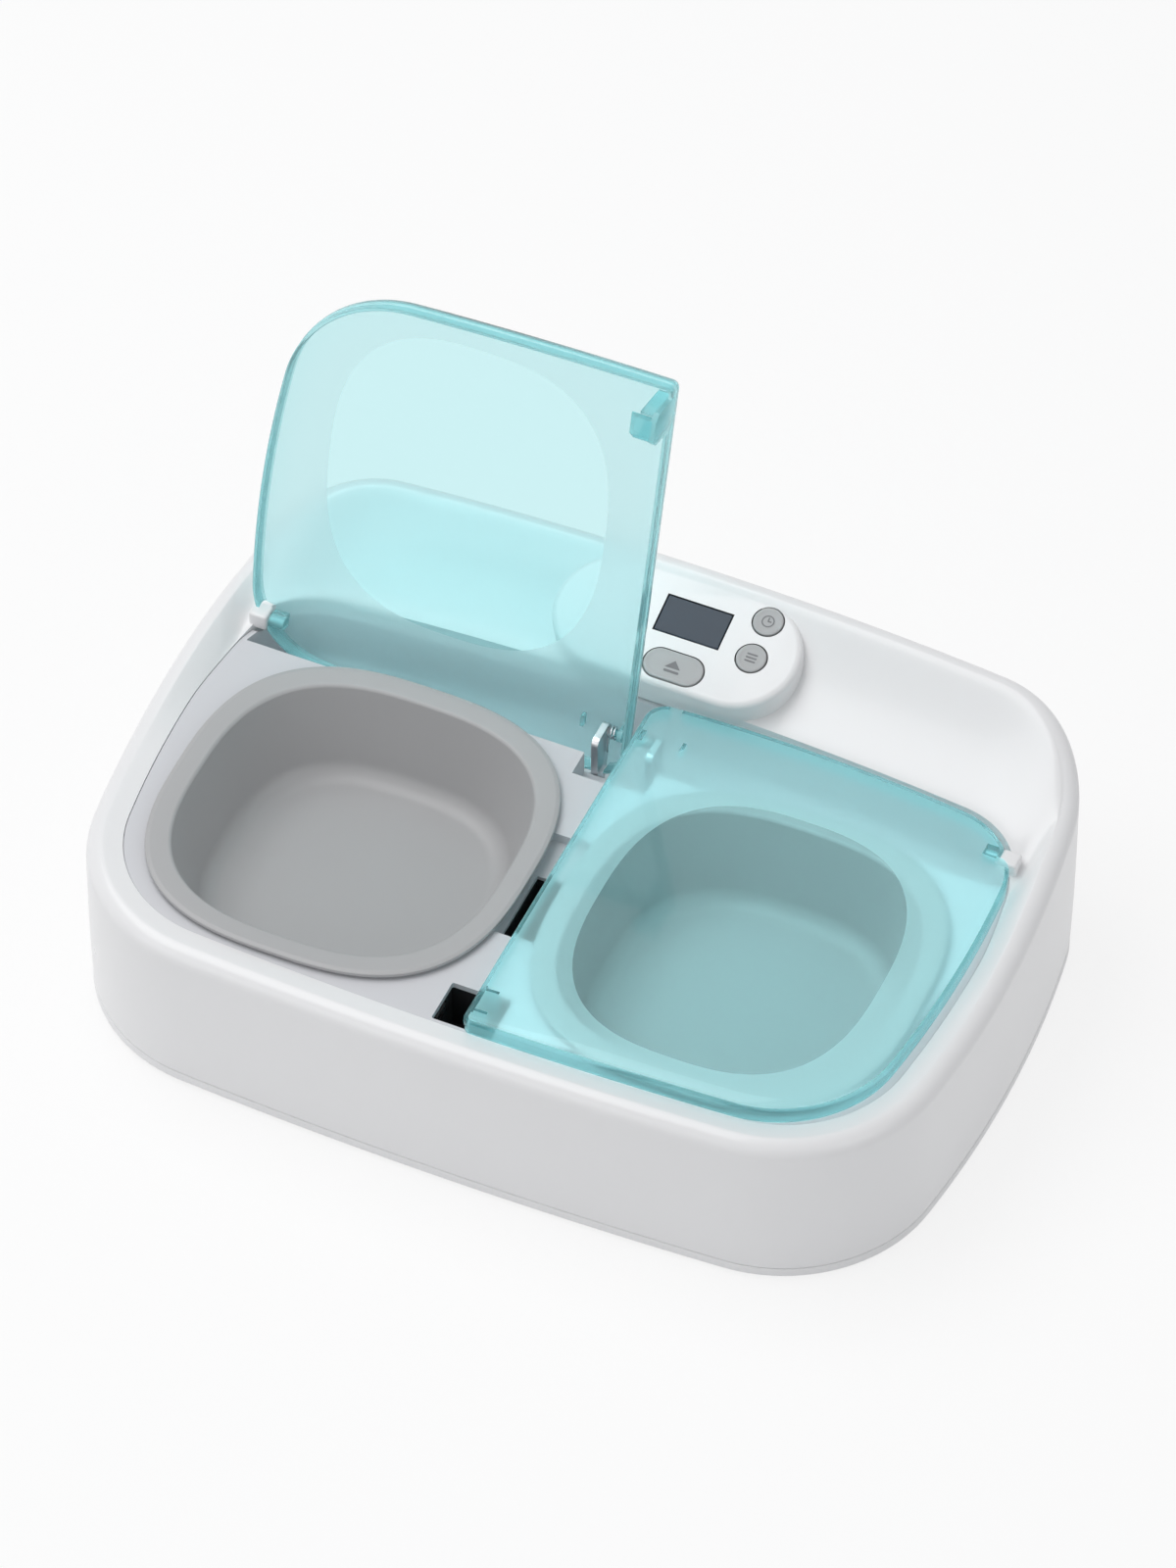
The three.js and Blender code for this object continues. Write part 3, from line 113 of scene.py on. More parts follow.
# Bowls
BOWL_X = 79.5
BOWL_Y = -30.5
BOWL_HALF_WIDTH = 73
BOWL_HALF_DEPTH = 73.3
BOWL_POWER = 2.76
BOWL_STEPS = 120
BOWL_TOP = 76.5
BOWL_RIM_WIDTH = 9.8
BOWL_WALL = 1.8
FLANGE_UNDERCUT = 2
FLANGE_EDGE = 74.4
BOWL_FLOOR = 38
BOWL_LEAN = 10
BOWL_UNDER_ROUND = 7
BOWL_INNER_ROUND = 8.5
BOWL_RIM_CREST = 1.6
BOWL_RIM_FALL = 0.6

# Lids and hinge line
LID_SIDE_INSET = 16.3
LID_FRONT_INSET = 13
LID_CORNER_INSET = 14
LID_TOP = 82.5
LID_WALL = 2.2
LID_EDGE_RADIUS = 2.6
LID_CROWN = 0.9
LID_SKIRT = 8.6
LID_SKIRT_WALL = 2
LID_SKIRT_ROUND = 0.5
LID_STEP = 0.5
LID_STEP_LOW = 5.2
LID_STEP_HIGH = 4.8
LID_STEP_ROUND = 0.4
LID_INNER_X = 1
LID_BACK = 68.4
LID_BACK_RADIUS = 700
LID_BACK_PEAK_X = 50
LID_BACK_CORNER_RADIUS = 33
LID_INNER_FRONT_RADIUS = 3.2
LID_INNER_BACK_RADIUS = 9
WINDOW_HALF_WIDTH = 57
WINDOW_HALF_DEPTH = 64
WINDOW_POWER = 2.7
HINGE_Y = 49.2
HINGE_Z = 77
HINGE_LINE = (0, HINGE_Y, HINGE_Z)
HINGE_PIN_RADIUS = 1.5
HINGE_LUG_RADIUS = 2.8
OPEN_ANGLE = radians(105)
EAR_X = 9.6
EAR_THICKNESS = 3
EAR_RADIUS = 3
EAR_FRONT_Y = 39.2
PIVOT_X = 151.5
PIVOT_HALF_SIZE = 3.7
PIVOT_CLEAR = 6.3
PIVOT_SIDE_GAP = 1.6
PIVOT_ROUND = 1.1

# Console
CONSOLE_HALF_WIDTH = 50
CONSOLE_DEPTH = 48.8
CONSOLE_TILT = radians(16)
CONSOLE_FRONT_Y = 68
CONSOLE_FRONT_Z = 89.8
CONSOLE_SKIN = 2.2
CONSOLE_WALL = 1.5
CONSOLE_DROP = 16.4
CONSOLE_EDGE_RADIUS = 2.6
DISPLAY_PLACE = (4.5, 29.5)
DISPLAY_HALF_SIZE = (13.7, 8.2)
DISPLAY_THICKNESS = 1.2
OPEN_BUTTON_PLACE = (5, 8.9)
OPEN_BUTTON_HALF_WIDTH = 12
OPEN_BUTTON_DEPTH = 12.4
ROUND_BUTTON_RADIUS = 5.9
ROUND_BUTTON_X = 31.5
ROUND_BUTTONS = {"timer_button": 39.2, "set_button": 22.5}
BUTTON_GAP = 0.55
BUTTON_RISE = 0.7
BUTTON_FLANGE = 0.8
BUTTON_DISH = 0.3
OVERRUN = 4


# Plan outlines
def arc(centre, radius, start, end, steps):
    angles = (start + (end - start) * step / steps for step in range(steps + 1))
    return [(centre[0] + radius * cos(a), centre[1] + radius * sin(a)) for a in angles]


def corner_centre(first, first_radius, second, second_radius, radius, side):
    """Centre of the circle that touches two larger circles from inside."""
    reach_first = first_radius - radius
    reach_second = second_radius - radius
    across = Vector(second) - Vector(first)
    apart = across.length
    along = (reach_first**2 - reach_second**2 + apart**2) / (2 * apart)
    aside = sqrt(max(reach_first**2 - along**2, 0))
    unit = across / apart
    normal = Vector((-unit.y, unit.x))
    base = Vector(first) + unit * along
    return max((base + normal * aside, base - normal * aside), key=lambda p: p.x + side * p.y)


def angle_from(centre, point):
    return atan2(point[1] - centre[1], point[0] - centre[0])


OUTLINE_STEPS = {"end": 14, "corner": 26, "side": 12}


def quarter_outline(side, half_width, reach, side_radius, end_radius, corner_radius, inset):
    flank = (half_width - side_radius, SIDE_CENTRE_Y)
    end = (0, side * (reach - end_radius))
    corner = corner_centre(flank, side_radius, end, end_radius, corner_radius, side)
    leave = angle_from(flank, corner)
    meet = angle_from(end, corner)
    return (
        arc(flank, side_radius - inset, 0, leave, OUTLINE_STEPS["side"])
        + arc(corner, corner_radius - inset, leave, meet, OUTLINE_STEPS["corner"])[1:]
        + arc(end, end_radius - inset, meet, side * pi / 2, OUTLINE_STEPS["end"])[1:]
    )


def whole_outline(front, back):
    right = front[::-1] + back[1:]
    left = [(-x, y) for x, y in right[1:-1]][::-1]
    return right + left


def front_outline(inset):
    return quarter_outline(-1, BODY_HALF_WIDTH, BODY_HALF_DEPTH, SIDE_RADIUS, FRONT_RADIUS,
                           FRONT_CORNER_RADIUS, inset)


def body_outline(inset):
    return whole_outline(front_outline(inset), quarter_outline(
        1, BODY_HALF_WIDTH, BODY_HALF_DEPTH, SIDE_RADIUS, BACK_RADIUS, BACK_CORNER_RADIUS, inset))


def opening_outline(inset):
    """Plan of the opening; its sides draw in a little towards the hinge line."""
    outline = whole_outline(front_outline(OPENING_INSET + inset), quarter_outline(
        1, BODY_HALF_WIDTH - OPENING_INSET, OPENING_BACK, SIDE_RADIUS - OPENING_INSET,
        OPENING_BACK_RADIUS, OPENING_BACK_CORNER_RADIUS, inset))
    start, most, end = SIDE_DRAW_Y

    def drawn_in(x, y):
        along = smoothstep(y, start, most) * (1 - smoothstep(y, most, end))
        return SIDE_DRAW * (along * smoothstep(abs(x), *SIDE_DRAW_X))

    return [(copysign(abs(x) - drawn_in(x, y), x), y) for x, y in outline]


def bowl_outline(inset, side):
    """A superellipse, between an oval and a rectangle."""
    points = []
    for step in range(BOWL_STEPS):
        angle = 2 * pi * step / BOWL_STEPS
        x, y = (copysign(abs(wave) ** (2 / BOWL_POWER), wave)
                for wave in (cos(angle), sin(angle)))
        points.append((side * BOWL_X + (BOWL_HALF_WIDTH - inset) * x,
                       BOWL_Y + (BOWL_HALF_DEPTH - inset) * y))
    return points


def circle(radius, centre=(0, 0), steps=64):
    return arc(centre, radius, 0, 2 * pi, steps)[:-1]


ROUND_END_STEPS = 28
CORNER_STEPS = 8


def stadium(half_width, depth, inset, middle):
    """An outline with straight sides and round ends."""
    radius = depth / 2
    reach = half_width - radius
    right = arc((reach, middle), radius - inset, -pi / 2, pi / 2, ROUND_END_STEPS)
    left = arc((-reach, middle), radius - inset, pi / 2, 1.5 * pi, ROUND_END_STEPS)
    return right + left


def rectangle(half_width, half_height, centre=(0, 0)):
    return [
        (centre[0] + x * half_width, centre[1] + y * half_height)
        for x, y in ((-1, -1), (1, -1), (1, 1), (-1, 1))
    ]


def rounded_rectangle(half_width, half_height, radius, centre=(0, 0)):
    points = []
    for turn, (x, y) in enumerate(((1, 1), (-1, 1), (-1, -1), (1, -1))):
        hub = (centre[0] + x * (half_width - radius), centre[1] + y * (half_height - radius))
        points += arc(hub, radius, turn * pi / 2, (turn + 1) * pi / 2, CORNER_STEPS)
    return points


def rounded_profile(corners, steps=6):
    """A profile through corners given as (across, height, radius), each rounded by its radius."""
    points = []
    for index, (across, height, radius) in enumerate(corners):
        here = Vector((across, height))
        if radius == 0 or index in (0, len(corners) - 1):
            points.append(tuple(here))
            continue
        before = (Vector(corners[index - 1][:2]) - here).normalized()
        after = (Vector(corners[index + 1][:2]) - here).normalized()
        half = before.angle(after) / 2
        reach = radius / tan(half)
        hub = here + (before + after).normalized() * radius / sin(half)
        start = here + before * reach - hub
        sweep = (here + after * reach - hub).angle_signed(start)
        for step in range(steps + 1):
            turn = Matrix.Rotation(sweep * step / steps, 2)
            points.append(tuple(hub + turn @ start))
    return points


def quarter_round(radius, steps):
    """Insets and drops along a quarter circle, from a wall over to a top."""
    angles = (pi / 2 * step / steps for step in range(steps + 1))
    return [(radius * (1 - cos(a)), radius * (1 - sin(a))) for a in angles]


def smoothstep(value, low, high):
    share = min(max((value - low) / (high - low), 0), 1)
    return share * share * (3 - 2 * share)


def mix(first, second, share):
    return first + (second - first) * share


def between(first, second, share):
    return tuple(mix(a, b, share) for a, b in zip(first, second))


def shares(steps):
    return [step / steps for step in range(1, steps + 1)]


# Meshes
def at_height(outline, z):
    return [(x, y, z) for x, y in outline]


ROD_STEPS = 48
TURN_STEPS = 40
BEVEL_ANGLE = radians(40)


def put(name, data):
    thing = bpy.data.objects.new(name, data)
    bpy.context.scene.collection.objects.link(thing)
    return thing


def shift(x, y, z):
    return Matrix.Translation(Vector((x, y, z)) * MM)


def new_object(name, vertices, faces):
    mesh = bpy.data.meshes.new(name)
    mesh.from_pydata([Vector(v) * MM for v in vertices], [], faces)
    mesh.validate()
    return put(name, mesh)


def skin(name, rings, loop=False):
    """A closed skin through rings of equal count, up the outside and down the inside."""
    count = len(rings[0])
    vertices = [point for ring in rings for point in ring]
    faces = []
    for level in range(len(rings) if loop else len(rings) - 1):
        lower = level * count
        upper = ((level + 1) % len(rings)) * count
        for step in range(count):
            following = (step + 1) % count
            faces.append((lower + step, lower + following, upper + following, upper + step))
    if not loop:
        faces.append(tuple(range(count))[::-1])
        faces.append(tuple((len(rings) - 1) * count + step for step in range(count)))
    return new_object(name, vertices, faces)


def swept(name, outline, profile):
    """A skin whose rings are an outline at each inset and height of a profile."""
    return skin(name, [at_height(outline(inset), z) for inset, z in profile])


def prism(name, outline, low, high):
    return skin(name, [at_height(outline, low), at_height(outline, high)])


def plate(name, profile, near, far):
    """A plate that stands across X, from its outline in Y and Z."""
    return skin(name, [[(x, y, z) for y, z in profile] for x in (near, far)])


def block(name, low, high):
    middle = [(low[axis] + high[axis]) / 2 for axis in range(3)]
    half = [(high[axis] - low[axis]) / 2 for axis in range(3)]
    return prism(name, rectangle(half[0], half[1], middle[:2]), low[2], high[2])


def rod(name, axis, radius, start, end, place=(0, 0, 0)):
    """A round rod along one axis, from start to end, through the place across it."""
    piece = prism(name, circle(radius, steps=ROD_STEPS), start, end)
    turns = {"x": Matrix.Rotation(pi / 2, 4, "Y"), "y": Matrix.Rotation(-pi / 2, 4, "X")}
    piece.data.transform(shift(*place) @ turns.get(axis, Matrix()))
    return piece


def apply_modifiers(piece):
    bpy.context.view_layer.update()
    evaluated = piece.evaluated_get(bpy.context.evaluated_depsgraph_get())
    mesh = bpy.data.meshes.new_from_object(evaluated)
    old = piece.data
    piece.modifiers.clear()
    piece.data = mesh
    mesh.name = piece.name
    bpy.data.meshes.remove(old)
    return piece


def gather(name, pieces):
    """One object that holds the meshes of several."""
    grown = bmesh.new()
    for piece in pieces:
        grown.from_mesh(piece.data)
        bpy.data.objects.remove(piece)
    mesh = bpy.data.meshes.new(name)
    grown.to_mesh(mesh)
    grown.free()
    return put(name, mesh)


def combine(piece, operation, tools):
    tool = gather(piece.name + "_tool", tools) if len(tools) > 1 else tools[0]
    modifier = piece.modifiers.new(operation.lower(), "BOOLEAN")
    modifier.operation = operation
    modifier.solver = "EXACT"
    modifier.use_self = len(tools) > 1
    modifier.object = tool
    apply_modifiers(piece)
    bpy.data.objects.remove(tool)
    return piece


def join(piece, *tools):
    return combine(piece, "UNION", tools)


def cut(piece, *tools):
    return combine(piece, "DIFFERENCE", tools)


def smooth(piece, degrees):
    mesh = piece.data
    mesh.polygons.foreach_set("use_smooth", [True] * len(mesh.polygons))
    mesh.set_sharp_from_angle(angle=radians(degrees))


def bevelled(piece, width, segments=2):
    modifier = piece.modifiers.new("bevel", "BEVEL")
    modifier.width = width * MM
    modifier.segments = segments
    modifier.limit_method = "ANGLE"
    modifier.angle_limit = BEVEL_ANGLE
    modifier.use_clamp_overlap = True
    return apply_modifiers(piece)


# Shader groups
def new_group(name, inputs, outputs):
    group = bpy.data.node_groups.new(name, "ShaderNodeTree")
    for label, kind, value in inputs:
        socket = group.interface.new_socket(label, in_out="INPUT", socket_type="NodeSocket" + kind)
        socket.default_value = value
    for label, kind in outputs:
        group.interface.new_socket(label, in_out="OUTPUT", socket_type="NodeSocket" + kind)
    return group, group.nodes.new("NodeGroupInput"), group.nodes.new("NodeGroupOutput")


def add(tree, kind, **values):
    """A node with its settings, and its inputs where a name is one of them."""
    node = tree.nodes.new("ShaderNode" + kind)
    for key, value in values.items():
        label = key.replace("_", " ").title()
        if hasattr(node, key):
            setattr(node, key, value)
        else:
            node.inputs[label].default_value = value
    return node


def wire(tree, *links):
    """Links, each given as a node, its output, the next node and its input."""
    for source, output, target, entry in links:
        tree.links.new(source.outputs[output], target.inputs[entry])


def tune(node, values):
    for entry, value in values.items():
        node.inputs[entry].default_value = value


def moulded_grain_group():
    """Fine moulding texture: height and roughness that vary a little over the surface."""
    group, given, out = new_group(
        "moulded grain",
        [("Grain Scale", "Float", 900), ("Roughness", "Float", 0.3), ("Spread", "Float", 0.05),
         ("Blotch Scale", "Float", 18)],
        [("Roughness", "Float"), ("Height", "Float")],
    )
    coords = add(group, "TexCoord")
    grain = add(group, "TexNoise", detail=3, roughness=0.6)
    blotch = add(group, "TexNoise", detail=4, roughness=0.55)
    spread = add(group, "MapRange")
    low = add(group, "Math", operation="SUBTRACT")
    high = add(group, "Math", operation="ADD")
    wire(
        group,
        (coords, "Object", grain, "Vector"), (given, "Grain Scale", grain, "Scale"),
        (coords, "Object", blotch, "Vector"), (given, "Blotch Scale", blotch, "Scale"),
        (given, "Roughness", low, 0), (given, "Spread", low, 1),
        (given, "Roughness", high, 0), (given, "Spread", high, 1),
        (blotch, "Fac", spread, "Value"), (low, 0, spread, "To Min"), (high, 0, spread, "To Max"),
        (spread, "Result", out, "Roughness"), (grain, "Fac", out, "Height"),
    )
    return group


def shade_drift_group():
    """Slow, faint drift between two shades of one colour."""
    group, given, out = new_group(
        "shade drift",
        [("Colour", "Color", (0.8, 0.8, 0.8, 1)), ("Second Colour", "Color", (0.7, 0.7, 0.7, 1)),
         ("Scale", "Float", 9)],
        [("Colour", "Color")],
    )
    coords = add(group, "TexCoord")
    noise = add(group, "TexNoise", detail=3, roughness=0.5)
    blend = add(group, "Mix", data_type="RGBA")
    first, second, mixed = 6, 7, 2
    wire(
        group,
        (coords, "Object", noise, "Vector"), (given, "Scale", noise, "Scale"),
        (noise, "Fac", blend, "Factor"), (given, "Colour", blend, first),
        (given, "Second Colour", blend, second), (blend, mixed, out, "Colour"),
    )
    return group


def drawn_lines_group():
    """Fine parallel lines left by drawing or brushing metal."""
    group, given, out = new_group(
        "drawn lines",
        [("Scale", "Float", 260), ("Stretch", "Vector", (1, 0.04, 1)), ("Roughness", "Float", 0.28),
         ("Spread", "Float", 0.12)],
        [("Roughness", "Float"), ("Height", "Float")],
    )
    coords = add(group, "TexCoord")
    stretch = add(group, "VectorMath", operation="MULTIPLY")
    lines = add(group, "TexNoise", detail=5, roughness=0.65)
    spread = add(group, "MapRange")
    high = add(group, "Math", operation="ADD")
    wire(
        group,
        (coords, "Object", stretch, 0), (given, "Stretch", stretch, 1),
        (stretch, 0, lines, "Vector"), (given, "Scale", lines, "Scale"),
        (given, "Roughness", high, 0), (given, "Spread", high, 1),
        (lines, "Fac", spread, "Value"), (given, "Roughness", spread, "To Min"),
        (high, 0, spread, "To Max"), (spread, "Result", out, "Roughness"),
        (lines, "Fac", out, "Height"),
    )
    return group


GRAIN = moulded_grain_group()
DRIFT = shade_drift_group()
LINES = drawn_lines_group()


def new_material(name):
    material = bpy.data.materials.new(name)
    material.use_nodes = True
    return material, material.node_tree, material.node_tree.nodes["Principled BSDF"]


# Materials
PLASTIC_DRIFT = 9
METAL_DRIFT = 60
METAL_RELIEF = (0.2, 0.02)
CLEAR_IOR = 1.33
LIGHT_LET_THROUGH = 0.98


def dress(name, colour, second, drift, group, strength, depth, **values):
    """A material of two drifting shades, with the roughness and the relief of a group."""
    material, tree, shader = new_material(name)
    tint = add(tree, "Group", node_tree=DRIFT, colour=(*colour, 1), second_colour=(*second, 1),
               scale=drift)
    surface = add(tree, "Group", node_tree=group, **values)
    relief = add(tree, "Bump", strength=strength, distance=depth * MM)
    wire(
        tree,
        (tint, "Colour", shader, "Base Color"), (surface, "Roughness", shader, "Roughness"),
        (surface, "Height", relief, "Height"), (relief, "Normal", shader, "Normal"),
    )
    return material, tree, shader


def plastic(name, colour, second, roughness, spread=0.05, grain=900, depth=0.02, strength=0.25,
            coat=0.0, specular=0.5):
    material, _, shader = dress(name, colour, second, PLASTIC_DRIFT, GRAIN, strength, depth,
                                grain_scale=grain, roughness=roughness, spread=spread)
    tune(shader, {"Coat Weight": coat, "Specular IOR Level": specular})
    return material


def metal(name, colour, second, roughness, spread=0.12, scale=260, stretch=(1, 0.04, 1)):
    material, _, shader = dress(name, colour, second, METAL_DRIFT, LINES, *METAL_RELIEF,
                                scale=scale, stretch=stretch, roughness=roughness, spread=spread)
    tune(shader, {"Metallic": 1})
    return material


def clear_plastic(name, colour, second, roughness, spread, depth, strength, grain=700,
                  transmission=1.0):
    """Clear plastic that also lets light on to what lies under it."""
    material, tree, shader = dress(name, colour, second, PLASTIC_DRIFT, GRAIN, strength, depth,
                                   grain_scale=grain, roughness=roughness, spread=spread)
    tune(shader, {"Transmission Weight": transmission, "IOR": CLEAR_IOR})
    path = add(tree, "LightPath")
    veil = add(tree, "Math", operation="MULTIPLY_ADD")
    tune(veil, {1: -LIGHT_LET_THROUGH, 2: 1})
    wire(tree, (path, "Is Shadow Ray", veil, 0), (veil, 0, shader, "Alpha"))
    return material


FROSTED = clear_plastic("frosted turquoise", (0.66, 0.925, 0.945), (0.645, 0.915, 0.935), 0.42,
                        0.04, 0.01, 0.08, grain=2400, transmission=0.76)
CLEAR = clear_plastic("clear turquoise", (0.64, 0.92, 0.94), (0.625, 0.91, 0.93), 0.05, 0.02,
                      0.002, 0)
# A darker copy of the clear turquoise: painted shade for the lid's skirt and the parts under its
# plate.
EDGE_SHADE = clear_plastic("edge turquoise", (0.4, 0.77, 0.80), (0.38, 0.75, 0.78), 0.2, 0.03, 0.01, 0.1,
                     transmission=0.7)
# Painted shade: a near-black colour for the white walls round the keys, where the gaps lie in
# shadow.
PAINTED_GAP_SHADE = plastic("gap shade", (0.07, 0.07, 0.075), (0.055, 0.055, 0.06), 0.7, 0.05, 900)
MARK = plastic("button mark", (0.2, 0.2, 0.21), (0.17, 0.17, 0.18), 0.5, 0.05, 1500)

FINISH_OF_SLOT = {
    "white_plastic": plastic(
        "white moulding", (0.83, 0.83, 0.835), (0.80, 0.80, 0.808), 0.3, coat=0.15),
    "deck_plastic": plastic(
        "deck grey", (0.62, 0.625, 0.65), (0.59, 0.595, 0.62), 0.48, 0.06, 1100),
    "bowl_plastic": plastic(
        "bowl grey", (0.425, 0.425, 0.43), (0.4, 0.4, 0.405), 0.42, 0.06, 1200),
    "button_rubber": plastic(
        "button rubber", (0.45, 0.455, 0.46), (0.42, 0.425, 0.43), 0.55, 0.06, 1500),
    "window_plastic": plastic(
        "display slate", (0.045, 0.062, 0.085), (0.04, 0.056, 0.078), 0.2, 0.03, 600, 0.004, 0.05,
        specular=0.2),
    "black_plastic": plastic(
        "matt black", (0.012, 0.012, 0.013), (0.018, 0.018, 0.02), 0.55, 0.08, 900),
    "grey_rubber": plastic(
        "foot rubber", (0.2, 0.2, 0.205), (0.17, 0.17, 0.175), 0.75, 0.08, 800),
    "steel": metal("bright steel", (0.62, 0.63, 0.65), (0.55, 0.56, 0.58), 0.2),
    "ear_steel": metal(
        "ear steel", (0.66, 0.67, 0.69), (0.58, 0.59, 0.61), 0.26, stretch=(1, 1, 0.05)),
    "aluminium": metal("aluminium", (0.72, 0.73, 0.74), (0.66, 0.67, 0.69), 0.3, scale=180),
    "foam": plastic(
        "cup foam", (0.75, 0.73, 0.66), (0.68, 0.66, 0.6), 0.9, 0.05, 500, 0.15, 0.8),
    "board": plastic(
        "board lacquer", (0.03, 0.16, 0.07), (0.02, 0.12, 0.05), 0.35, 0.08, 300),
    "ceramic": plastic(
        "fired ceramic", (0.8, 0.8, 0.78), (0.72, 0.72, 0.7), 0.6, 0.06, 1400),
    "coil": metal(
        "wound copper", (0.6, 0.29, 0.13), (0.5, 0.22, 0.09), 0.3, scale=400,
        stretch=(1, 0.02, 0.02)),
    "lid_plastic": FROSTED,
}


def wear(piece, finish):
    piece.data.materials.clear()
    piece.data.materials.append(finish)


def finish_nodes():
    """The CAD nodes keep their shape and get the finish of their slot."""
    slots = {entry["node"]: entry["material_slot"] for entry in frame["record"]["subparts"]}
    for name, node in frame["nodes"].items():
        wear(node, FINISH_OF_SLOT[slots[name]])


def place(piece, body, slot, *nodes, crease=35):
    """A piece on its body, in place of CAD nodes, in its own finish or its slot's."""
    if crease:
        smooth(piece, crease)
    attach(piece, body)
    if nodes:
        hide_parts(*nodes)
    if not any(piece.data.materials):
        wear(piece, FINISH_OF_SLOT[slot])


# Housing shell
def crest_at(y):
    """Height of the rim: a slow rise along the sides, then the sweep up to the back."""
    slow = SIDE_RISE * smoothstep(y, *SIDE_RISE_Y)
    sweep = smoothstep(y, *CREST_Y)
    return slow + mix(RIM_HEIGHT, CREST_HEIGHT - SIDE_RISE, sweep)


def foot_at(y):
    rise = smoothstep(y, *SLOPE_FOOT_Y)
    return mix(DECK_TOP + TOUCH, SLOPE_FOOT_HEIGHT, rise)


def slope_fall(share, y):
    """Height left on the way from the crest, 1, to the foot, 0; the back slope is hollow."""
    run = (1 + SLOPE_TURN_SHARE) * share**2 / (share + SLOPE_TURN_SHARE)
    return max(1 - run, 0) ** mix(1, SLOPE_HOLLOW, smoothstep(y, *SLOPE_HOLLOW_Y))


SIDE_STEPS = 10
CREST_STEPS = 12
SLOPE_STEPS = 24
UNDER_SHARES = (1, 0.8, 0.6, 0.4, 0.2)


def shell_rings():
    """Rings up the wall, over the rim, down the slope, and back inside."""
    crest = body_outline(RIM_RADIUS)
    foot = opening_outline(0)
    crest_z = [crest_at(y) for _, y in crest]
    foot_z = [foot_at(y) for _, y in foot]
    rings = []

    def level(inset, height):
        rings.append(at_height(body_outline(inset), height))

    def rim(inset, drop):
        rings.append([(x, y, z - drop) for (x, y), z in zip(body_outline(inset), crest_z)])

    def slope(share, drop, foot_ring):
        rings.append([
            (*between(top, low, share), mix(fz, cz, slope_fall(share, top[1])) - drop)
            for top, low, cz, fz in zip(crest, foot_ring, crest_z, foot_z)
        ])

    level(BODY_TAPER + SEAM_ROUND, SHELL_BOTTOM)
    level(BODY_TAPER + SEAM_ROUND / 4, SHELL_BOTTOM + SEAM_ROUND / 3)
    for share in shares(SIDE_STEPS):
        level(BODY_TAPER * (1 - share) ** 2, mix(SHELL_BOTTOM, TAPER_TOP, share))
    for inset, drop in quarter_round(RIM_RADIUS, CREST_STEPS):
        rim(inset, drop)
    for share in shares(SLOPE_STEPS):
        slope(share**SLOPE_SPACING, 0, foot)
    foot_back = [
        between(low, top, SHELL_WALL / dist(low, top)) for low, top in zip(foot, crest)]
    for outline in (foot, foot_back):
        rings.append(at_height(outline, DECK_TOP - OPENING_LIP))
    for share in UNDER_SHARES:
        slope(share, SKIN_DROP, foot_back)
    rim(RIM_RADIUS - TOUCH, SKIN_DROP)
    rim(SHELL_WALL, RIM_RADIUS + SHELL_WALL)
    level(SHELL_WALL, TAPER_TOP - OVERRUN)
    level(SHELL_WALL + BODY_TAPER, SHELL_BOTTOM)
    return rings


CONSOLE_FRAME = shift(0, CONSOLE_FRONT_Y, CONSOLE_FRONT_Z) @ Matrix.Rotation(CONSOLE_TILT, 4, "X")
CONSOLE_EDGE_STEPS = 8


def on_console(piece):
    piece.data.transform(CONSOLE_FRAME)
    return piece


def console_outline(inset):
    return stadium(CONSOLE_HALF_WIDTH, CONSOLE_DEPTH, inset, CONSOLE_DEPTH / 2)


def console_block():
    edge = quarter_round(CONSOLE_EDGE_RADIUS, CONSOLE_EDGE_STEPS)
    profile = [(0, -CONSOLE_DROP)] + [(inset, -drop) for inset, drop in edge]
    return on_console(swept("console_block", console_outline, profile))


def open_button_outline(grow):
    outline = stadium(OPEN_BUTTON_HALF_WIDTH + grow, OPEN_BUTTON_DEPTH + 2 * grow, 0, 0)
    return [(x + OPEN_BUTTON_PLACE[0], y + OPEN_BUTTON_PLACE[1]) for x, y in outline]


def console_openings():
    """The display's opening and the ways of the keys."""
    outlines = [rectangle(*DISPLAY_HALF_SIZE, DISPLAY_PLACE), open_button_outline(BUTTON_GAP)]
    outlines += [circle(ROUND_BUTTON_RADIUS + BUTTON_GAP, (ROUND_BUTTON_X, y))
                 for y in ROUND_BUTTONS.values()]
    return [on_console(prism("console_opening", outline, -CONSOLE_SKIN - OVERRUN, OVERRUN))
            for outline in outlines]


def pivot_block(side):
    reach = BODY_HALF_WIDTH - OPENING_INSET - SIDE_DRAW - PIVOT_SIDE_GAP
    near, far = sorted((side * PIVOT_X, side * reach))
    return block(
        "pivot_block",
        (near, HINGE_Y - PIVOT_HALF_SIZE, HINGE_Z - PIVOT_HALF_SIZE),
        (far, HINGE_Y + PIVOT_HALF_SIZE, HINGE_Z + PIVOT_HALF_SIZE),
    )


OUTLET_X = -64
OUTLET_HALF_WIDTH = 26
OUTLET_SLOTS = 9
OUTLET_SLOT_WIDTH = 2.4
OUTLET_LOW = 12
OUTLET_HIGH = 30
SOCKET_X = 96
SOCKET_Z = 18
SOCKET_RADIUS = 4.4


def back_wall_openings():
    """The louvre's slots and the hole of the power inlet."""
    near, far = BODY_HALF_DEPTH - SHELL_WALL - OVERRUN, BODY_HALF_DEPTH + OVERRUN
    tools = []
    for slot in range(OUTLET_SLOTS):
        x = OUTLET_X + OUTLET_HALF_WIDTH * (2 * slot / (OUTLET_SLOTS - 1) - 1)
        tools.append(block("outlet_slot", (x - OUTLET_SLOT_WIDTH / 2, near, OUTLET_LOW),
                           (x + OUTLET_SLOT_WIDTH / 2, far, OUTLET_HIGH)))
    socket = rod("socket_hole", "y", SOCKET_RADIUS, near - OVERRUN, far, (SOCKET_X, 0, SOCKET_Z))
    return [*tools, socket]


STEEP = 0.3


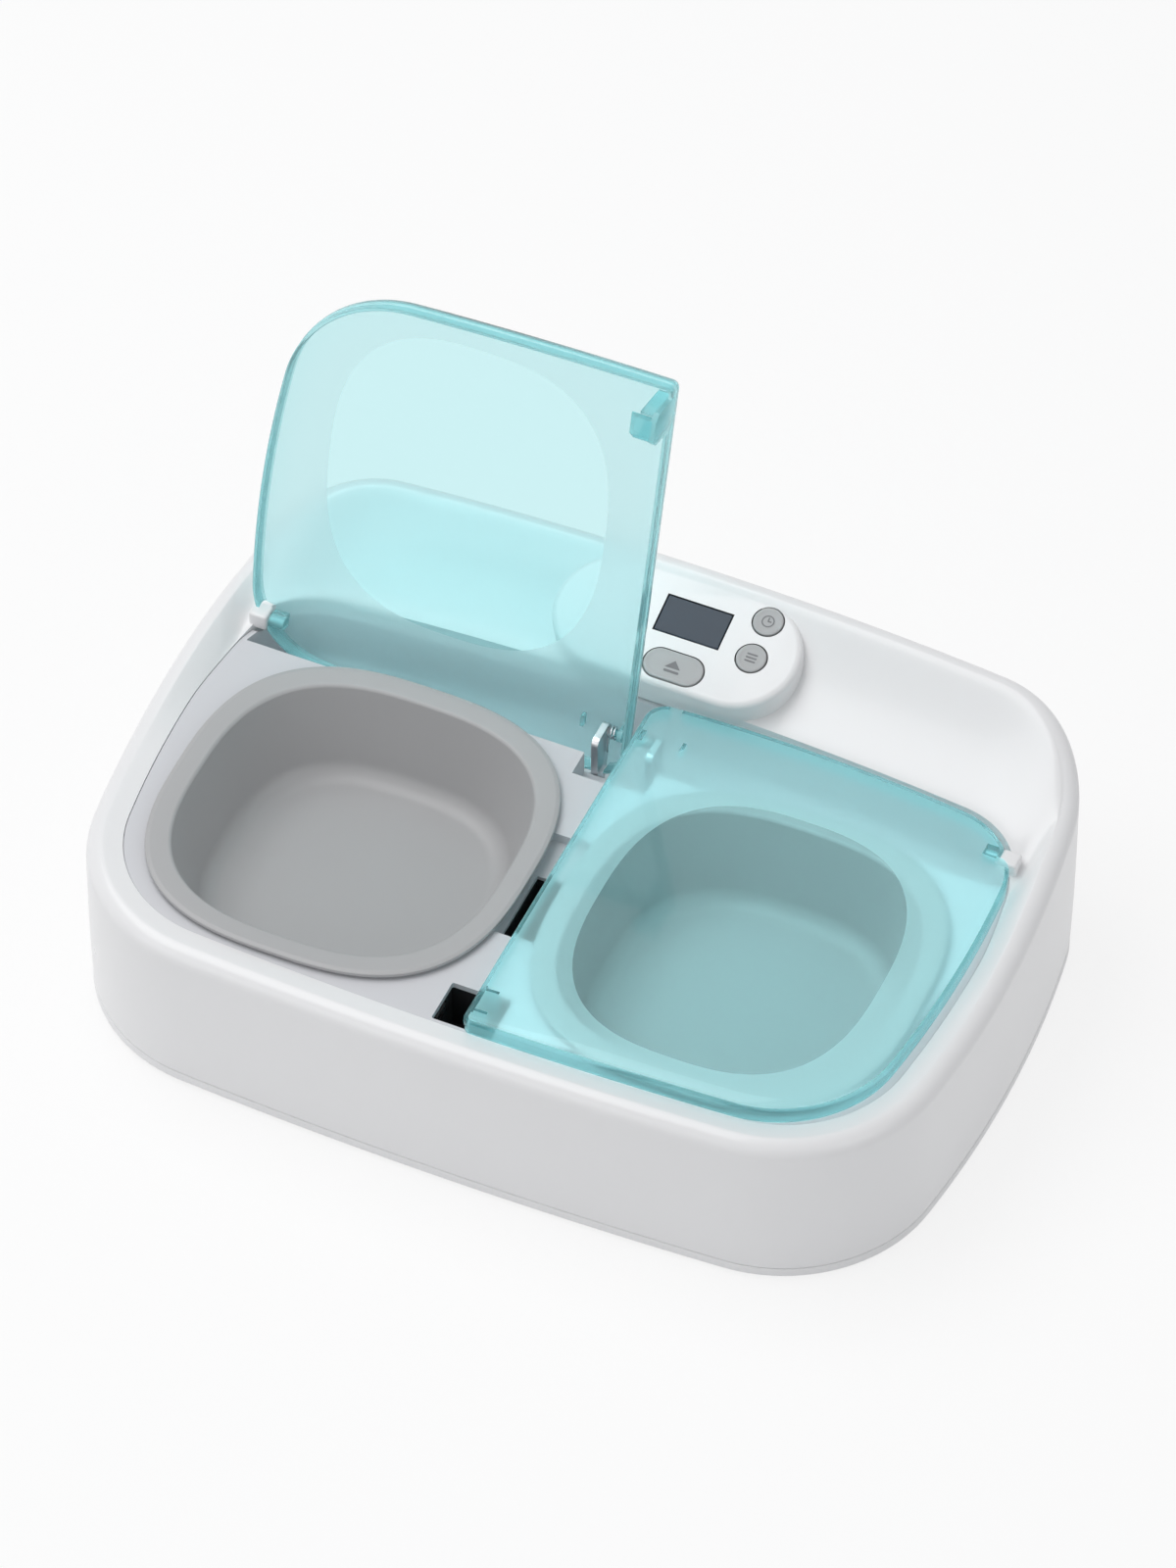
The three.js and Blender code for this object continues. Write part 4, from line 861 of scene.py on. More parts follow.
def shade_key_ways(shell):
    """The walls of the openings in the console's skin get a dark painted shade, standing in for the
    shadow in the gaps round the keys.
    """
    shell.data.materials.append(PAINTED_GAP_SHADE)
    into_console = CONSOLE_FRAME.inverted()
    half_depth = CONSOLE_DEPTH / 2
    for face in shell.data.polygons:
        x, y, z = (into_console @ face.center) / MM
        steep = abs((into_console.to_3x3() @ face.normal).z) < STEEP
        off_axis = hypot(max(abs(x) - CONSOLE_HALF_WIDTH + half_depth, 0), y - half_depth)
        if steep and -CONSOLE_SKIN < z < 0 and off_axis < half_depth - 2 * CONSOLE_EDGE_RADIUS:
            # Painted shade on the steep walls of the key openings.
            face.material_index = 1


def make_shell():
    shell = skin("housing_shell", shell_rings(), loop=True)
    join(shell, console_block())
    cut(shell, on_console(swept("console_cavity", console_outline, [
        (CONSOLE_WALL, -CONSOLE_DROP - 3 * OVERRUN), (CONSOLE_WALL, -CONSOLE_SKIN)])))
    for side in (-1, 1):
        join(shell, bevelled(pivot_block(side), PIVOT_ROUND, 4))
    cut(shell, *console_openings(), *back_wall_openings())
    place(shell, "housing", "white_plastic", "outer_shell", crease=30)
    shade_key_ways(shell)


# Bottom cover and feet
LIP_INSET = 4.1
LIP_WALL = 2
LIP_TOP = 11
LIP_ROUND = 0.4
FOOT_PLACE = (128, 86)
FOOT_RADIUS = 7
FOOT_HEIGHT = 2.7
FRONT_POST = (152, -15, 70.2)
BACK_POST = (112, 56, 49.9)
POST_RADIUS = 4
SCREW_RADIUS = 1.5
SCREW_HEAD_RADIUS = 3.2
SCREW_HEAD_TOP = 3.5
SCREW_TOP = 15.5
SCREW_WAY_TOP = 20
HEAD_SEAT_TOP = 3.8
RECESS_HALF_SIZE = (2, 0.45)
RECESS_TOP = 2.9
VENT_PITCH = 7
VENT_SLOTS = 7
VENT_WIDTH = 3
VENT_HALF_LENGTH = 22
VENT_TOP = 9


def make_base():
    """Bottom cover with its lip, screw posts, foot and screw seats and air inlets."""
    inner = LIP_INSET + LIP_WALL
    base = swept("bottom_cover", body_outline, rounded_profile([
        (BODY_TAPER + FLOOR_MARGIN, BASE_BOTTOM, 0),
        (BODY_TAPER, BASE_BOTTOM, BASE_ROUND),
        (BODY_TAPER, BASE_SEAM, SEAM_ROUND),
        (LIP_INSET, BASE_SEAM, 0),
        (LIP_INSET, LIP_TOP, LIP_ROUND),
        (inner, LIP_TOP, LIP_ROUND),
        (inner, BASE_FLOOR, 0),
    ], steps=4))
    posts = [(side * x, y, top) for x, y, top in (FRONT_POST, BACK_POST) for side in (-1, 1)]
    join(base, *(rod("post", "z", POST_RADIUS, BASE_BOTTOM + TOUCH, top, (x, y, 0))
                 for x, y, top in posts))
    low = BASE_BOTTOM - OVERRUN

    def ways(name, radius, top):
        return [rod(name, "z", radius + TOUCH, low, top, (x, y, 0)) for x, y, _ in posts]

    cut(base, *ways("screw_way", SCREW_RADIUS, SCREW_WAY_TOP))
    tools = ways("head_seat", SCREW_HEAD_RADIUS, HEAD_SEAT_TOP)
    for x in (-1, 1):
        for y in (-1, 1):
            tools.append(rod("foot_seat", "z", FOOT_RADIUS + TOUCH, low, FOOT_HEIGHT + TOUCH,
                             (x * FOOT_PLACE[0], y * FOOT_PLACE[1], 0)))
        for slot in range(VENT_SLOTS):
            middle = x * BOWL_X + (slot - (VENT_SLOTS - 1) / 2) * VENT_PITCH
            tools.append(prism("vent", rounded_rectangle(
                VENT_WIDTH / 2, VENT_HALF_LENGTH, VENT_WIDTH / 2 - 0.1, (middle, BOWL_Y)),
                low, VENT_TOP))
    cut(base, *tools)
    place(base, "housing", "white_plastic", "base_cover", crease=30)


def turned(name, profile):
    """A turned piece round the Z axis, from a profile of (radius, height, rounding)."""
    return swept(name, lambda radius: circle(radius, steps=TURN_STEPS),
                 rounded_profile(profile, steps=4))


def make_feet():
    seat = BASE_BOTTOM + TOUCH
    foot_profile = (
        (0.5, 0.5, 0), (3.4, 0.5, 0.2), (3.8, 0, 0.2), (FOOT_RADIUS - 0.6, 0, 0.5),
        (FOOT_RADIUS, FOOT_HEIGHT, 0.2), (0.5, FOOT_HEIGHT, 0))
    screw_profile = (
        (0.3, seat, 0), (SCREW_HEAD_RADIUS, seat, 0.7), (SCREW_HEAD_RADIUS, SCREW_HEAD_TOP, 0.1),
        (SCREW_RADIUS, SCREW_HEAD_TOP, 0.1), (SCREW_RADIUS, SCREW_TOP - 0.5, 0.4),
        (0.3, SCREW_TOP, 0))
    for depth, y, post in (("front", -1, FRONT_POST), ("back", 1, BACK_POST)):
        for width, x in (("left", -1), ("right", 1)):
            corner = f"{depth}_{width}"
            foot = turned("rest_" + corner, foot_profile)
            foot.data.transform(shift(x * FOOT_PLACE[0], y * FOOT_PLACE[1], 0))
            place(foot, "housing", "grey_rubber", "foot_" + corner)
            screw = turned("fixing_" + corner, screw_profile)
            cut(screw, *(block("recess", (-a, -b, 0), (a, b, RECESS_TOP))
                         for a, b in (RECESS_HALF_SIZE, RECESS_HALF_SIZE[::-1])))
            screw.data.transform(shift(x * post[0], post[1], 0))
            place(screw, "housing", "steel", "base_screw_" + corner)


# Deck tray
DECK_JOINT = 0.15
WELL_INSET = BOWL_RIM_WIDTH - BOWL_WALL - SLIDE
POCKET_HALF_WIDTH = 15
POCKET_FRONT = 27.3
POCKET_FLOOR = 62
RECESS_HALF_WIDTH = 10.5
RECESS_FRONT = -57.7
RECESS_BACK = -3.3
RECESS_FLOOR = 68.6
RECESS_SLOT_HALF_WIDTH = 7
RECESS_SLOT_BACK = -22.2
LATCH_SLOT_HALF_WIDTH = 12.3
LATCH_SLOT_FRONT = -106.3
LATCH_SLOT_BACK = -87.2
RECESS_CORNER = 2
LATCH_SLOT_CORNER = 0.8
DECK_EDGE_ROUND = 0.3
DECK_MARGIN = 3


def trough_part(name, inset, low, high, front):
    """What lies behind a front line within the opening's outline."""
    piece = prism(name, opening_outline(inset), low, high)
    return combine(piece, "INTERSECT", [block(
        "keep", (-BODY_HALF_WIDTH, front, -OVERRUN),
        (BODY_HALF_WIDTH, BODY_HALF_DEPTH, CREST_HEIGHT))])


def make_deck():
    floor = DECK_TOP - TROUGH_DEPTH
    deck = swept("deck", opening_outline, rounded_profile([
        (DECK_JOINT + DECK_MARGIN, DECK_TOP - DECK_THICKNESS, 0),
        (DECK_JOINT, DECK_TOP - DECK_THICKNESS, DECK_EDGE_ROUND),
        (DECK_JOINT, DECK_TOP, DECK_EDGE_ROUND),
        (DECK_JOINT + DECK_MARGIN, DECK_TOP, 0),
    ]))
    under = DECK_TOP - DECK_THICKNESS / 2
    high = DECK_TOP + OVERRUN
    low = DECK_TOP - DECK_THICKNESS - OVERRUN
    join(deck, trough_part(
        "trough", SLIDE + TOUCH, floor - TRAY_WALL, under, TROUGH_FRONT - TRAY_WALL))
    for name, half_width, front, back, bottom in (
            ("pocket", POCKET_HALF_WIDTH, POCKET_FRONT, TROUGH_FRONT, POCKET_FLOOR),
            ("recess", RECESS_HALF_WIDTH, RECESS_FRONT, RECESS_BACK + TRAY_WALL, RECESS_FLOOR)):
        join(deck, block(
            name, (-half_width - TRAY_WALL, front - TRAY_WALL, bottom - TRAY_WALL),
            (half_width + TRAY_WALL, back, under)))
    cut(deck, trough_part("trough_hollow", SLIDE + TRAY_WALL, floor, high, TROUGH_FRONT))
    tools = [
        prism(name, rounded_rectangle(
            half_width, (back - front) / 2, corner, (0, (back + front) / 2)), bottom, high)
        for name, half_width, front, back, corner, bottom in (
            ("recess_hollow", RECESS_HALF_WIDTH, RECESS_FRONT, RECESS_BACK, RECESS_CORNER,
             RECESS_FLOOR),
            ("latch_slot", LATCH_SLOT_HALF_WIDTH, LATCH_SLOT_FRONT, LATCH_SLOT_BACK,
             LATCH_SLOT_CORNER, low),
        )
    ]
    tools.append(block(
        "pocket_hollow", (-POCKET_HALF_WIDTH, POCKET_FRONT, POCKET_FLOOR),
        (POCKET_HALF_WIDTH, TROUGH_FRONT + TRAY_WALL, high)))
    for side in (-1, 1):
        tools.append(prism("well", bowl_outline(WELL_INSET, side), low, high))
        near, far = sorted((side * (PIVOT_X - SLIDE), side * BODY_HALF_WIDTH))
        tools.append(rod("pivot_room", "x", PIVOT_CLEAR, near, far, HINGE_LINE))
    cut(deck, *tools)
    cut(deck, block(
        "recess_slot", (-RECESS_SLOT_HALF_WIDTH, RECESS_FRONT, RECESS_FLOOR - OVERRUN),
        (RECESS_SLOT_HALF_WIDTH, RECESS_SLOT_BACK, DECK_TOP)))
    place(deck, "housing", "deck_plastic", "deck_tray")


# Bowls
def make_bowl(name, side, body):
    """A dish with a broad flange, undercut so that its edge stands clear of the deck."""
    outside = BOWL_RIM_WIDTH - BOWL_WALL
    under = BOWL_FLOOR - BOWL_WALL
    flange = DECK_TOP + TOUCH
    floor = BOWL_RIM_WIDTH + BOWL_LEAN
    bowl = swept(name, lambda inset: bowl_outline(inset, side), rounded_profile([
        (outside + BOWL_LEAN + FLOOR_MARGIN, under, 0),
        (outside + BOWL_LEAN, under, BOWL_UNDER_ROUND),
        (outside, flange, 0.6),
        (FLANGE_UNDERCUT, flange, 0.3),
        (FLANGE_UNDERCUT, FLANGE_EDGE, 0.2),
        (0, FLANGE_EDGE, 0.4),
        (0, BOWL_TOP - 0.5, 0.5),
        (BOWL_RIM_CREST, BOWL_TOP, 2),
        (BOWL_RIM_WIDTH - BOWL_RIM_FALL, BOWL_TOP - BOWL_RIM_FALL, 1.8),
        (floor - 0.4, BOWL_FLOOR, BOWL_INNER_ROUND),
        (floor + FLOOR_MARGIN, BOWL_FLOOR, 0),
    ], steps=10))
    place(bowl, body, "bowl_plastic", name.replace("dish", "bowl"), crease=40)


# Lids
LID_STEPS = {"front": 24, "corner": 22, "side": 20, "back": 24, "small": 10}
CATCH_NEAR = 1.2
CATCH_STEM = 2.4
CATCH_RIB = 8.8
CATCH_FAR = 12
CATCH_FRONT = -104
CATCH_BACK = -90
CATCH_BOTTOM = 60
BARB_TOP = 63
BARB_TIP = 0.8
CATCH_SLOPE = 2.5
CATCH_RIB_INSET = 1
CATCH_RIB_WIDTH = 1.2
CATCH_ROUND = 0.3
INNER_LUG = (3.4, 5.2)
SMALL_RIB = (20.4, 21.8)
SMALL_RIB_HALF_DEPTH = 2.4
SMALL_RIB_RISE = 0.8
OUTER_LUG_NEAR = 145
INNER_EDGE_STEPS = 20
PLATE_STEPS = 6
WINDOW_SHARES = (0.02, 0.4, 0.75)


def lid_outline(inset):
    flank = (BODY_HALF_WIDTH - SIDE_RADIUS, SIDE_CENTRE_Y)
    flank_radius = SIDE_RADIUS - LID_SIDE_INSET
    front = (0, FRONT_RADIUS - BODY_HALF_DEPTH)
    front_radius = FRONT_RADIUS - LID_FRONT_INSET
    back = (LID_BACK_PEAK_X, LID_BACK - LID_BACK_RADIUS)
    corner_radius = FRONT_CORNER_RADIUS - LID_CORNER_INSET
    front_corner = corner_centre(flank, flank_radius, front, front_radius, corner_radius, -1)
    back_corner = corner_centre(
        flank, flank_radius, back, LID_BACK_RADIUS, LID_BACK_CORNER_RADIUS, 1)

    def inner_corner(centre, reach, radius, side):
        x = LID_INNER_X + radius
        return x, centre[1] + side * sqrt((reach - radius) ** 2 - (x - centre[0]) ** 2)

    inner_front = inner_corner(front, front_radius, LID_INNER_FRONT_RADIUS, -1)
    inner_back = inner_corner(back, LID_BACK_RADIUS, LID_INNER_BACK_RADIUS, 1)
    stretches = (
        (inner_front, LID_INNER_FRONT_RADIUS, "small"), (front, front_radius, "front"),
        (front_corner, corner_radius, "corner"), (flank, flank_radius, "side"),
        (back_corner, LID_BACK_CORNER_RADIUS, "corner"), (back, LID_BACK_RADIUS, "back"),
        (inner_back, LID_INNER_BACK_RADIUS, "small"),
    )
    turns = [-pi] + [angle_from(*pair) for pair in (
        (front, inner_front), (front, front_corner), (flank, front_corner),
        (flank, back_corner), (back, back_corner), (back, inner_back))] + [pi]
    points = []
    for (centre, radius, steps), start, end in zip(stretches, turns, turns[1:]):
        points += arc(centre, radius - inset, start, end, LID_STEPS[steps])[1 if points else 0:]
    inner = (points[-1], points[0])
    return points + [between(*inner, share) for share in shares(INNER_EDGE_STEPS)[:-1]]


def window_points(outline, share):
    """The window's edge towards each outline point, or a share of the way there."""
    points = []
    for point in outline:
        x, y = point[0] - BOWL_X, point[1] - BOWL_Y
        size = (abs(x / WINDOW_HALF_WIDTH) ** WINDOW_POWER
                + abs(y / WINDOW_HALF_DEPTH) ** WINDOW_POWER) ** (1 / WINDOW_POWER)
        points.append((BOWL_X + x / size * share, BOWL_Y + y / size * share))
    return points


def crown_at(x, y):
    across = (x - BOWL_X) / (BODY_HALF_WIDTH / 2)
    along = (y - BOWL_Y) / BODY_HALF_DEPTH
    return LID_CROWN * max(0, 1 - across**2) * max(0, 1 - along**2)


def lid_skin(name):
    """The lid as one skin: under the window, out to the skirt, up over the edge and back in."""
    under = LID_TOP - LID_WALL
    skirt = LID_TOP - LID_SKIRT
    border = lid_outline(LID_SKIRT_WALL)
    shoulder = lid_outline(LID_EDGE_RADIUS)

    def crowned(points, z):
        return [(x, y, z + crown_at(x, y)) for x, y in points]

    def drawn(first, second, share):
        return [between(*pair, share) for pair in zip(first, second)]

    rings = [crowned(window_points(border, share), under) for share in (*WINDOW_SHARES, 1)]
    frosted_from = len(rings) - 1
    for share in shares(PLATE_STEPS):
        ring = drawn(window_points(border, 1), border, share)
        rings.append(crowned(ring, under) if share < 1 else at_height(ring, under))
    edge = rounded_profile([
        (LID_SKIRT_WALL, under, 0),
        (LID_SKIRT_WALL - 0.2, skirt, LID_SKIRT_ROUND),
        (0.3, skirt, LID_SKIRT_ROUND),
        (LID_STEP, LID_TOP - LID_STEP_LOW, LID_STEP_ROUND),
        (0, LID_TOP - LID_STEP_HIGH, LID_STEP_ROUND),
        (0, LID_TOP, LID_EDGE_RADIUS),
        (LID_EDGE_RADIUS + 1, LID_TOP, 0),
    ])[1:-1]
    rings += [at_height(lid_outline(inset), z) for inset, z in edge]
    for share in shares(PLATE_STEPS):
        rings.append(crowned(drawn(shoulder, window_points(shoulder, 1), share), LID_TOP))
    rings += [crowned(window_points(shoulder, share), LID_TOP) for share in WINDOW_SHARES[::-1]]
    lid = skin(name, rings)
    for finish in (FROSTED, CLEAR, EDGE_SHADE):
        lid.data.materials.append(finish)
    for face in lid.data.polygons:
        if not 0 <= face.index // len(border) - frosted_from < PLATE_STEPS:
            face.material_index = 1
    return lid


def turn_about_hinge(piece, angle):
    hinge = shift(*HINGE_LINE)
    piece.data.transform(hinge @ Matrix.Rotation(angle, 4, "X") @ hinge.inverted())


def mirror_left(piece):
    piece.data.transform(Matrix.Scale(-1, 4, (1, 0, 0)))
    piece.data.flip_normals()


def make_catch(top):
    """The hook under a lid's inner front corner: a thin stem, ribs and a sloped barb."""
    front, back = CATCH_FRONT, CATCH_BACK
    nose = (front + CATCH_SLOPE, back - CATCH_SLOPE)
    far = CATCH_NEAR + CATCH_STEM
    stem = plate("catch", [
        (nose[0], CATCH_BOTTOM), (nose[1], CATCH_BOTTOM), (back, BARB_TOP), (back, top),
        (front, top), (front, BARB_TOP)], CATCH_NEAR, far)
    barb = [(far - TOUCH, CATCH_BOTTOM), (CATCH_FAR - CATCH_SLOPE, CATCH_BOTTOM),
            (CATCH_FAR, BARB_TOP - BARB_TIP), (CATCH_FAR, BARB_TOP), (far - TOUCH, BARB_TOP)]
    join(stem, skin("barb", [[(x, y, z) for x, z in barb] for y in nose[::-1]]))
    for y in (front + CATCH_RIB_INSET, back - CATCH_RIB_INSET - CATCH_RIB_WIDTH):
        join(stem, block("rib", (far - TOUCH, y, BARB_TOP - TOUCH),
                         (CATCH_RIB, y + CATCH_RIB_WIDTH, top)))
    return bevelled(stem, CATCH_ROUND)


def make_lid(name, side):
    lid = lid_skin(name + "_panel")
    under = LID_TOP - LID_WALL + TOUCH
    far = PIVOT_X - SLIDE
    for near, end in (INNER_LUG, (OUTER_LUG_NEAR, far)):
        join(lid, rod("lug", "x", HINGE_LUG_RADIUS, near, end, HINGE_LINE))
        join(lid, block("lug_web", (near, HINGE_Y - HINGE_LUG_RADIUS, HINGE_Z),
                        (end, HINGE_Y + HINGE_LUG_RADIUS, under)))
    join(lid, rod("inner_pin", "x", HINGE_PIN_RADIUS, INNER_LUG[0] + TOUCH,
                  EAR_X + EAR_THICKNESS + SLIDE, HINGE_LINE))
    join(lid, make_catch(under))
    cut(lid, block(
        "ear_room", (EAR_X - 2 * SLIDE, EAR_FRONT_Y, LID_TOP - LID_SKIRT - OVERRUN),
        (EAR_X + EAR_THICKNESS + 2 * SLIDE, LID_BACK + OVERRUN, LID_TOP - LID_WALL + TOUCH / 3)))
    cut(lid, rod("pivot_room", "x", PIVOT_CLEAR, far, BODY_HALF_WIDTH, HINGE_LINE))
    cut(lid, rod("pin_hole", "x", HINGE_PIN_RADIUS + TOUCH, OUTER_LUG_NEAR + TOUCH,
                 PIVOT_X + OVERRUN, HINGE_LINE))
    join(lid, block(
        "small_rib", (SMALL_RIB[0], HINGE_Y - SMALL_RIB_HALF_DEPTH, HINGE_Z + SMALL_RIB_RISE),
        (SMALL_RIB[1], HINGE_Y + SMALL_RIB_HALF_DEPTH, under)))
    # Faces below the plate, which are the skirt, lugs, catch and ribs, take the darker copy as
    # painted shade.
    for face in lid.data.polygons:
        if face.center.z < (LID_TOP - LID_WALL - TOUCH) * MM:
            face.material_index = 2
    smooth(lid, 30)
    if side < 0:
        mirror_left(lid)
        turn_about_hinge(lid, -OPEN_ANGLE)
    place(lid, name, "lid_plastic", name, crease=None)


# Hinge hardware
SPRING_TURNS = 2.5
SPRING_WIRE = 0.4
SPRING_RADIUS = 2.35
SPRING_PITCH = 1.25
SPRING_LEG = 9
SPRING_STEPS = 24
SPRING_GAP = 0.6
EAR_FOOT_WIDTH = 5
EAR_FOOT_THICKNESS = 2
EAR_ROUND = 0.45


def make_ear(name, side):
    floor = DECK_TOP - TROUGH_DEPTH + TOUCH
    sine, cosine = sin(OPEN_ANGLE), cos(OPEN_ANGLE)
    tangent = (HINGE_Y + EAR_RADIUS * sine, HINGE_Z + EAR_RADIUS * cosine)
    foot_y = tangent[0] + (tangent[1] - floor) / sine * cosine
    profile = (
        [(EAR_FRONT_Y, floor), (foot_y, floor)]
        + arc((HINGE_Y, HINGE_Z), EAR_RADIUS, pi / 2 - OPEN_ANGLE, pi / 2, 16)
        + arc((EAR_FRONT_Y + EAR_RADIUS, HINGE_Z), EAR_RADIUS, pi / 2, pi, 12)
    )
    near, far = EAR_X + TOUCH / 2, EAR_X + EAR_THICKNESS - TOUCH / 2
    ear = plate(name, profile, near, far)
    join(ear, block("foot", (near, EAR_FRONT_Y, floor),
                    (far + EAR_FOOT_WIDTH, foot_y, floor + EAR_FOOT_THICKNESS)))
    cut(ear, rod("hole", "x", HINGE_PIN_RADIUS + TOUCH, 0, far + OVERRUN, HINGE_LINE))
    bevelled(ear, EAR_ROUND, 3)
    smooth(ear, 30)
    if side < 0:
        mirror_left(ear)
    place(ear, "housing", "ear_steel", name.replace("ear", "hinge_ear"), crease=None)


def make_spring(name, side):
    points = []
    for step in range(int(SPRING_TURNS * SPRING_STEPS) + 1):
        angle = 2 * pi * step / SPRING_STEPS - pi
        points.append((
            side * (EAR_X - SPRING_GAP - SPRING_PITCH * step / SPRING_STEPS),
            HINGE_Y + SPRING_RADIUS * cos(angle),
            HINGE_Z + SPRING_RADIUS * sin(angle),
        ))
    x, y, z = points[0]
    points = [(x, y, z - SPRING_LEG * share) for share in (1, 0.66, 0.33)] + points
    curve = bpy.data.curves.new(name, "CURVE")
    curve.dimensions = "3D"
    curve.bevel_depth = SPRING_WIRE * MM
    curve.bevel_resolution = 4
    curve.use_fill_caps = True
    spline = curve.splines.new("POLY")
    spline.points.add(len(points) - 1)
    for point, target in zip(points, spline.points):
        target.co = (*(Vector(point) * MM), 1)
    coil = put(name, curve)
    mesh = bpy.data.meshes.new_from_object(
        coil.evaluated_get(bpy.context.evaluated_depsgraph_get()))
    bpy.data.objects.remove(coil)
    place(put(name, mesh), "housing", "steel", name.replace("spring", "lid_spring"), crease=60)


# Console pieces
FLANGE_BOTTOM = 1.3
KEY_ROUND = 0.55
KEY_FACE = ((1.2, 0.02, 0.6), (2.2, 0.28, 1.2), (4, BUTTON_DISH, 0))


def key_piece(name, outline, body):
    """A soft key: flange under the panel, a rounded edge and a slightly dished face."""
    key = on_console(swept(name, lambda inset: outline(-inset), rounded_profile([
        (-BUTTON_FLANGE, -CONSOLE_SKIN - FLANGE_BOTTOM, 0),
        (-BUTTON_FLANGE, -CONSOLE_SKIN - TOUCH, 0),
        (0, -CONSOLE_SKIN - TOUCH, 0),
        (0, BUTTON_RISE, KEY_ROUND),
        *((inset, BUTTON_RISE - drop, radius) for inset, drop, radius in KEY_FACE),
    ])))
    place(key, body, "button_rubber", body)


MARK_RISE = 0.14
MARK_SEAT = 0.05
MARK_BASE = BUTTON_RISE - BUTTON_DISH - MARK_SEAT


def mark_piece(name, outlines, body):
    """Plain raised signs on a key, each a thin rounded pad."""
    top = MARK_BASE + MARK_SEAT + MARK_RISE
    pads = [prism(name, outline, MARK_BASE, top) for outline in outlines]
    mark = on_console(gather(name, pads))
    mark.data.materials.append(MARK)
    place(mark, body, "button_rubber")


def bar(centre, half_length, half_width, angle=0):
    outline = rounded_rectangle(half_length, half_width, half_width * 0.9)
    turn = Matrix.Rotation(angle, 2)
    return [tuple(turn @ Vector(p) + Vector(centre)) for p in outline]


def ring_pads(centre, radius, width, pads=24):
    """A ring drawn as short bars set end to end."""
    places = arc(centre, radius, 0, 2 * pi, pads)[:-1]
    return [
        bar(point, pi * radius / pads, width / 2, 2 * pi * pad / pads + pi / 2)
        for pad, point in enumerate(places)
    ]


EJECT_HALF_WIDTH = 3.1
EJECT_HEIGHTS = (-2.3, -0.8, 2.5)
EJECT_BAR = 0.5
CLOCK_RADIUS = 2.3
CLOCK_LINE = 0.55
CLOCK_HANDS = ((0, 0.75, 0.9, pi / 2), (0.6, 0, 0.8, 0))
HAND_HALF_WIDTH = 0.25
ROW_PITCH = 1.5
ROW_HALF_SIZE = (2.2, 0.32)


def make_buttons():
    """The long key with an eject sign, and two round ones with a clock and three rows."""
    key_piece("open_key", open_button_outline, "open_button")
    x, y = OPEN_BUTTON_PLACE
    row, foot, tip = (y + height for height in EJECT_HEIGHTS)
    triangle = [(x - EJECT_HALF_WIDTH, foot), (x + EJECT_HALF_WIDTH, foot), (x, tip)]
    mark_piece("open_mark", [triangle, bar((x, row), EJECT_HALF_WIDTH, EJECT_BAR)], "open_button")
    x = ROUND_BUTTON_X
    for name, y in ROUND_BUTTONS.items():
        key_piece(name.replace("button", "key"),
                  lambda grow: circle(ROUND_BUTTON_RADIUS + grow, (x, y)), name)
        if name == "timer_button":
            signs = ring_pads((x, y), CLOCK_RADIUS, CLOCK_LINE)
            signs += [bar((x + across, y + up), length, HAND_HALF_WIDTH, turn)
                      for across, up, length, turn in CLOCK_HANDS]
        else:
            signs = [bar((x, y + row * ROW_PITCH), *ROW_HALF_SIZE) for row in (-1, 0, 1)]
        mark_piece(name.replace("button", "mark"), signs, name)


DISPLAY_CORNER = 0.5
DISPLAY_CHAMFER = 0.25


def make_display():
    half_width, half_height = (size - SLIDE for size in DISPLAY_HALF_SIZE)
    lens = on_console(swept("display_lens", lambda inset: rounded_rectangle(
        half_width - inset, half_height - inset, DISPLAY_CORNER, DISPLAY_PLACE),
        ((0, -DISPLAY_THICKNESS), (0, -DISPLAY_CHAMFER), (DISPLAY_CHAMFER, 0))))
    place(lens, "housing", "window_plastic", "display_window", crease=30)


# Room
def whiten(tree, lit, white, out, share):
    """Mix in white by a share where the camera, gloss or clear plastic sees the surface."""
    path = add(tree, "LightPath")
    seen = add(tree, "Math", operation="MAXIMUM")
    through = add(tree, "Math", operation="MAXIMUM")
    weight = add(tree, "Math", operation="MULTIPLY")
    tune(weight, {1: share})
    blend = add(tree, "MixShader")
    wire(
        tree,
        (path, "Is Camera Ray", seen, 0), (through, 0, seen, 1),
        (path, "Is Transmission Ray", through, 0), (path, "Is Glossy Ray", through, 1),
        (seen, 0, weight, 0), (weight, 0, blend, "Fac"), (lit, 0, blend, 1),
        (white, 0, blend, 2), (blend, 0, out, "Surface"),
    )


FLOOR_REACH = 3000
FLOOR_WHITE_SHARE = 0.8


def make_floor():
    corners = rectangle(FLOOR_REACH, FLOOR_REACH)
    floor = new_object("floor", at_height(corners, 0), [(0, 1, 2, 3)])
    material, tree, shader = new_material("floor")
    tune(shader, {"Base Color": (0.9, 0.9, 0.9, 1), "Roughness": 0.9})
    glow = add(tree, "Emission", strength=1)
    whiten(tree, shader, glow, tree.nodes["Material Output"], FLOOR_WHITE_SHARE)
    floor.data.materials.append(material)
    floor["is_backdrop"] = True


def make_world():
    world = bpy.data.worlds.new("room")
    world.use_nodes = True
    bpy.context.scene.world = world
    tree = world.node_tree
    background = tree.nodes["Background"]
    tune(background, {"Color": (0.97, 0.98, 1, 1), "Strength": 0.48})
    white = add(tree, "Background", strength=1)
    tune(white, {"Color": (1, 1, 1, 1)})
    whiten(tree, background, white, tree.nodes["World Output"], 1)


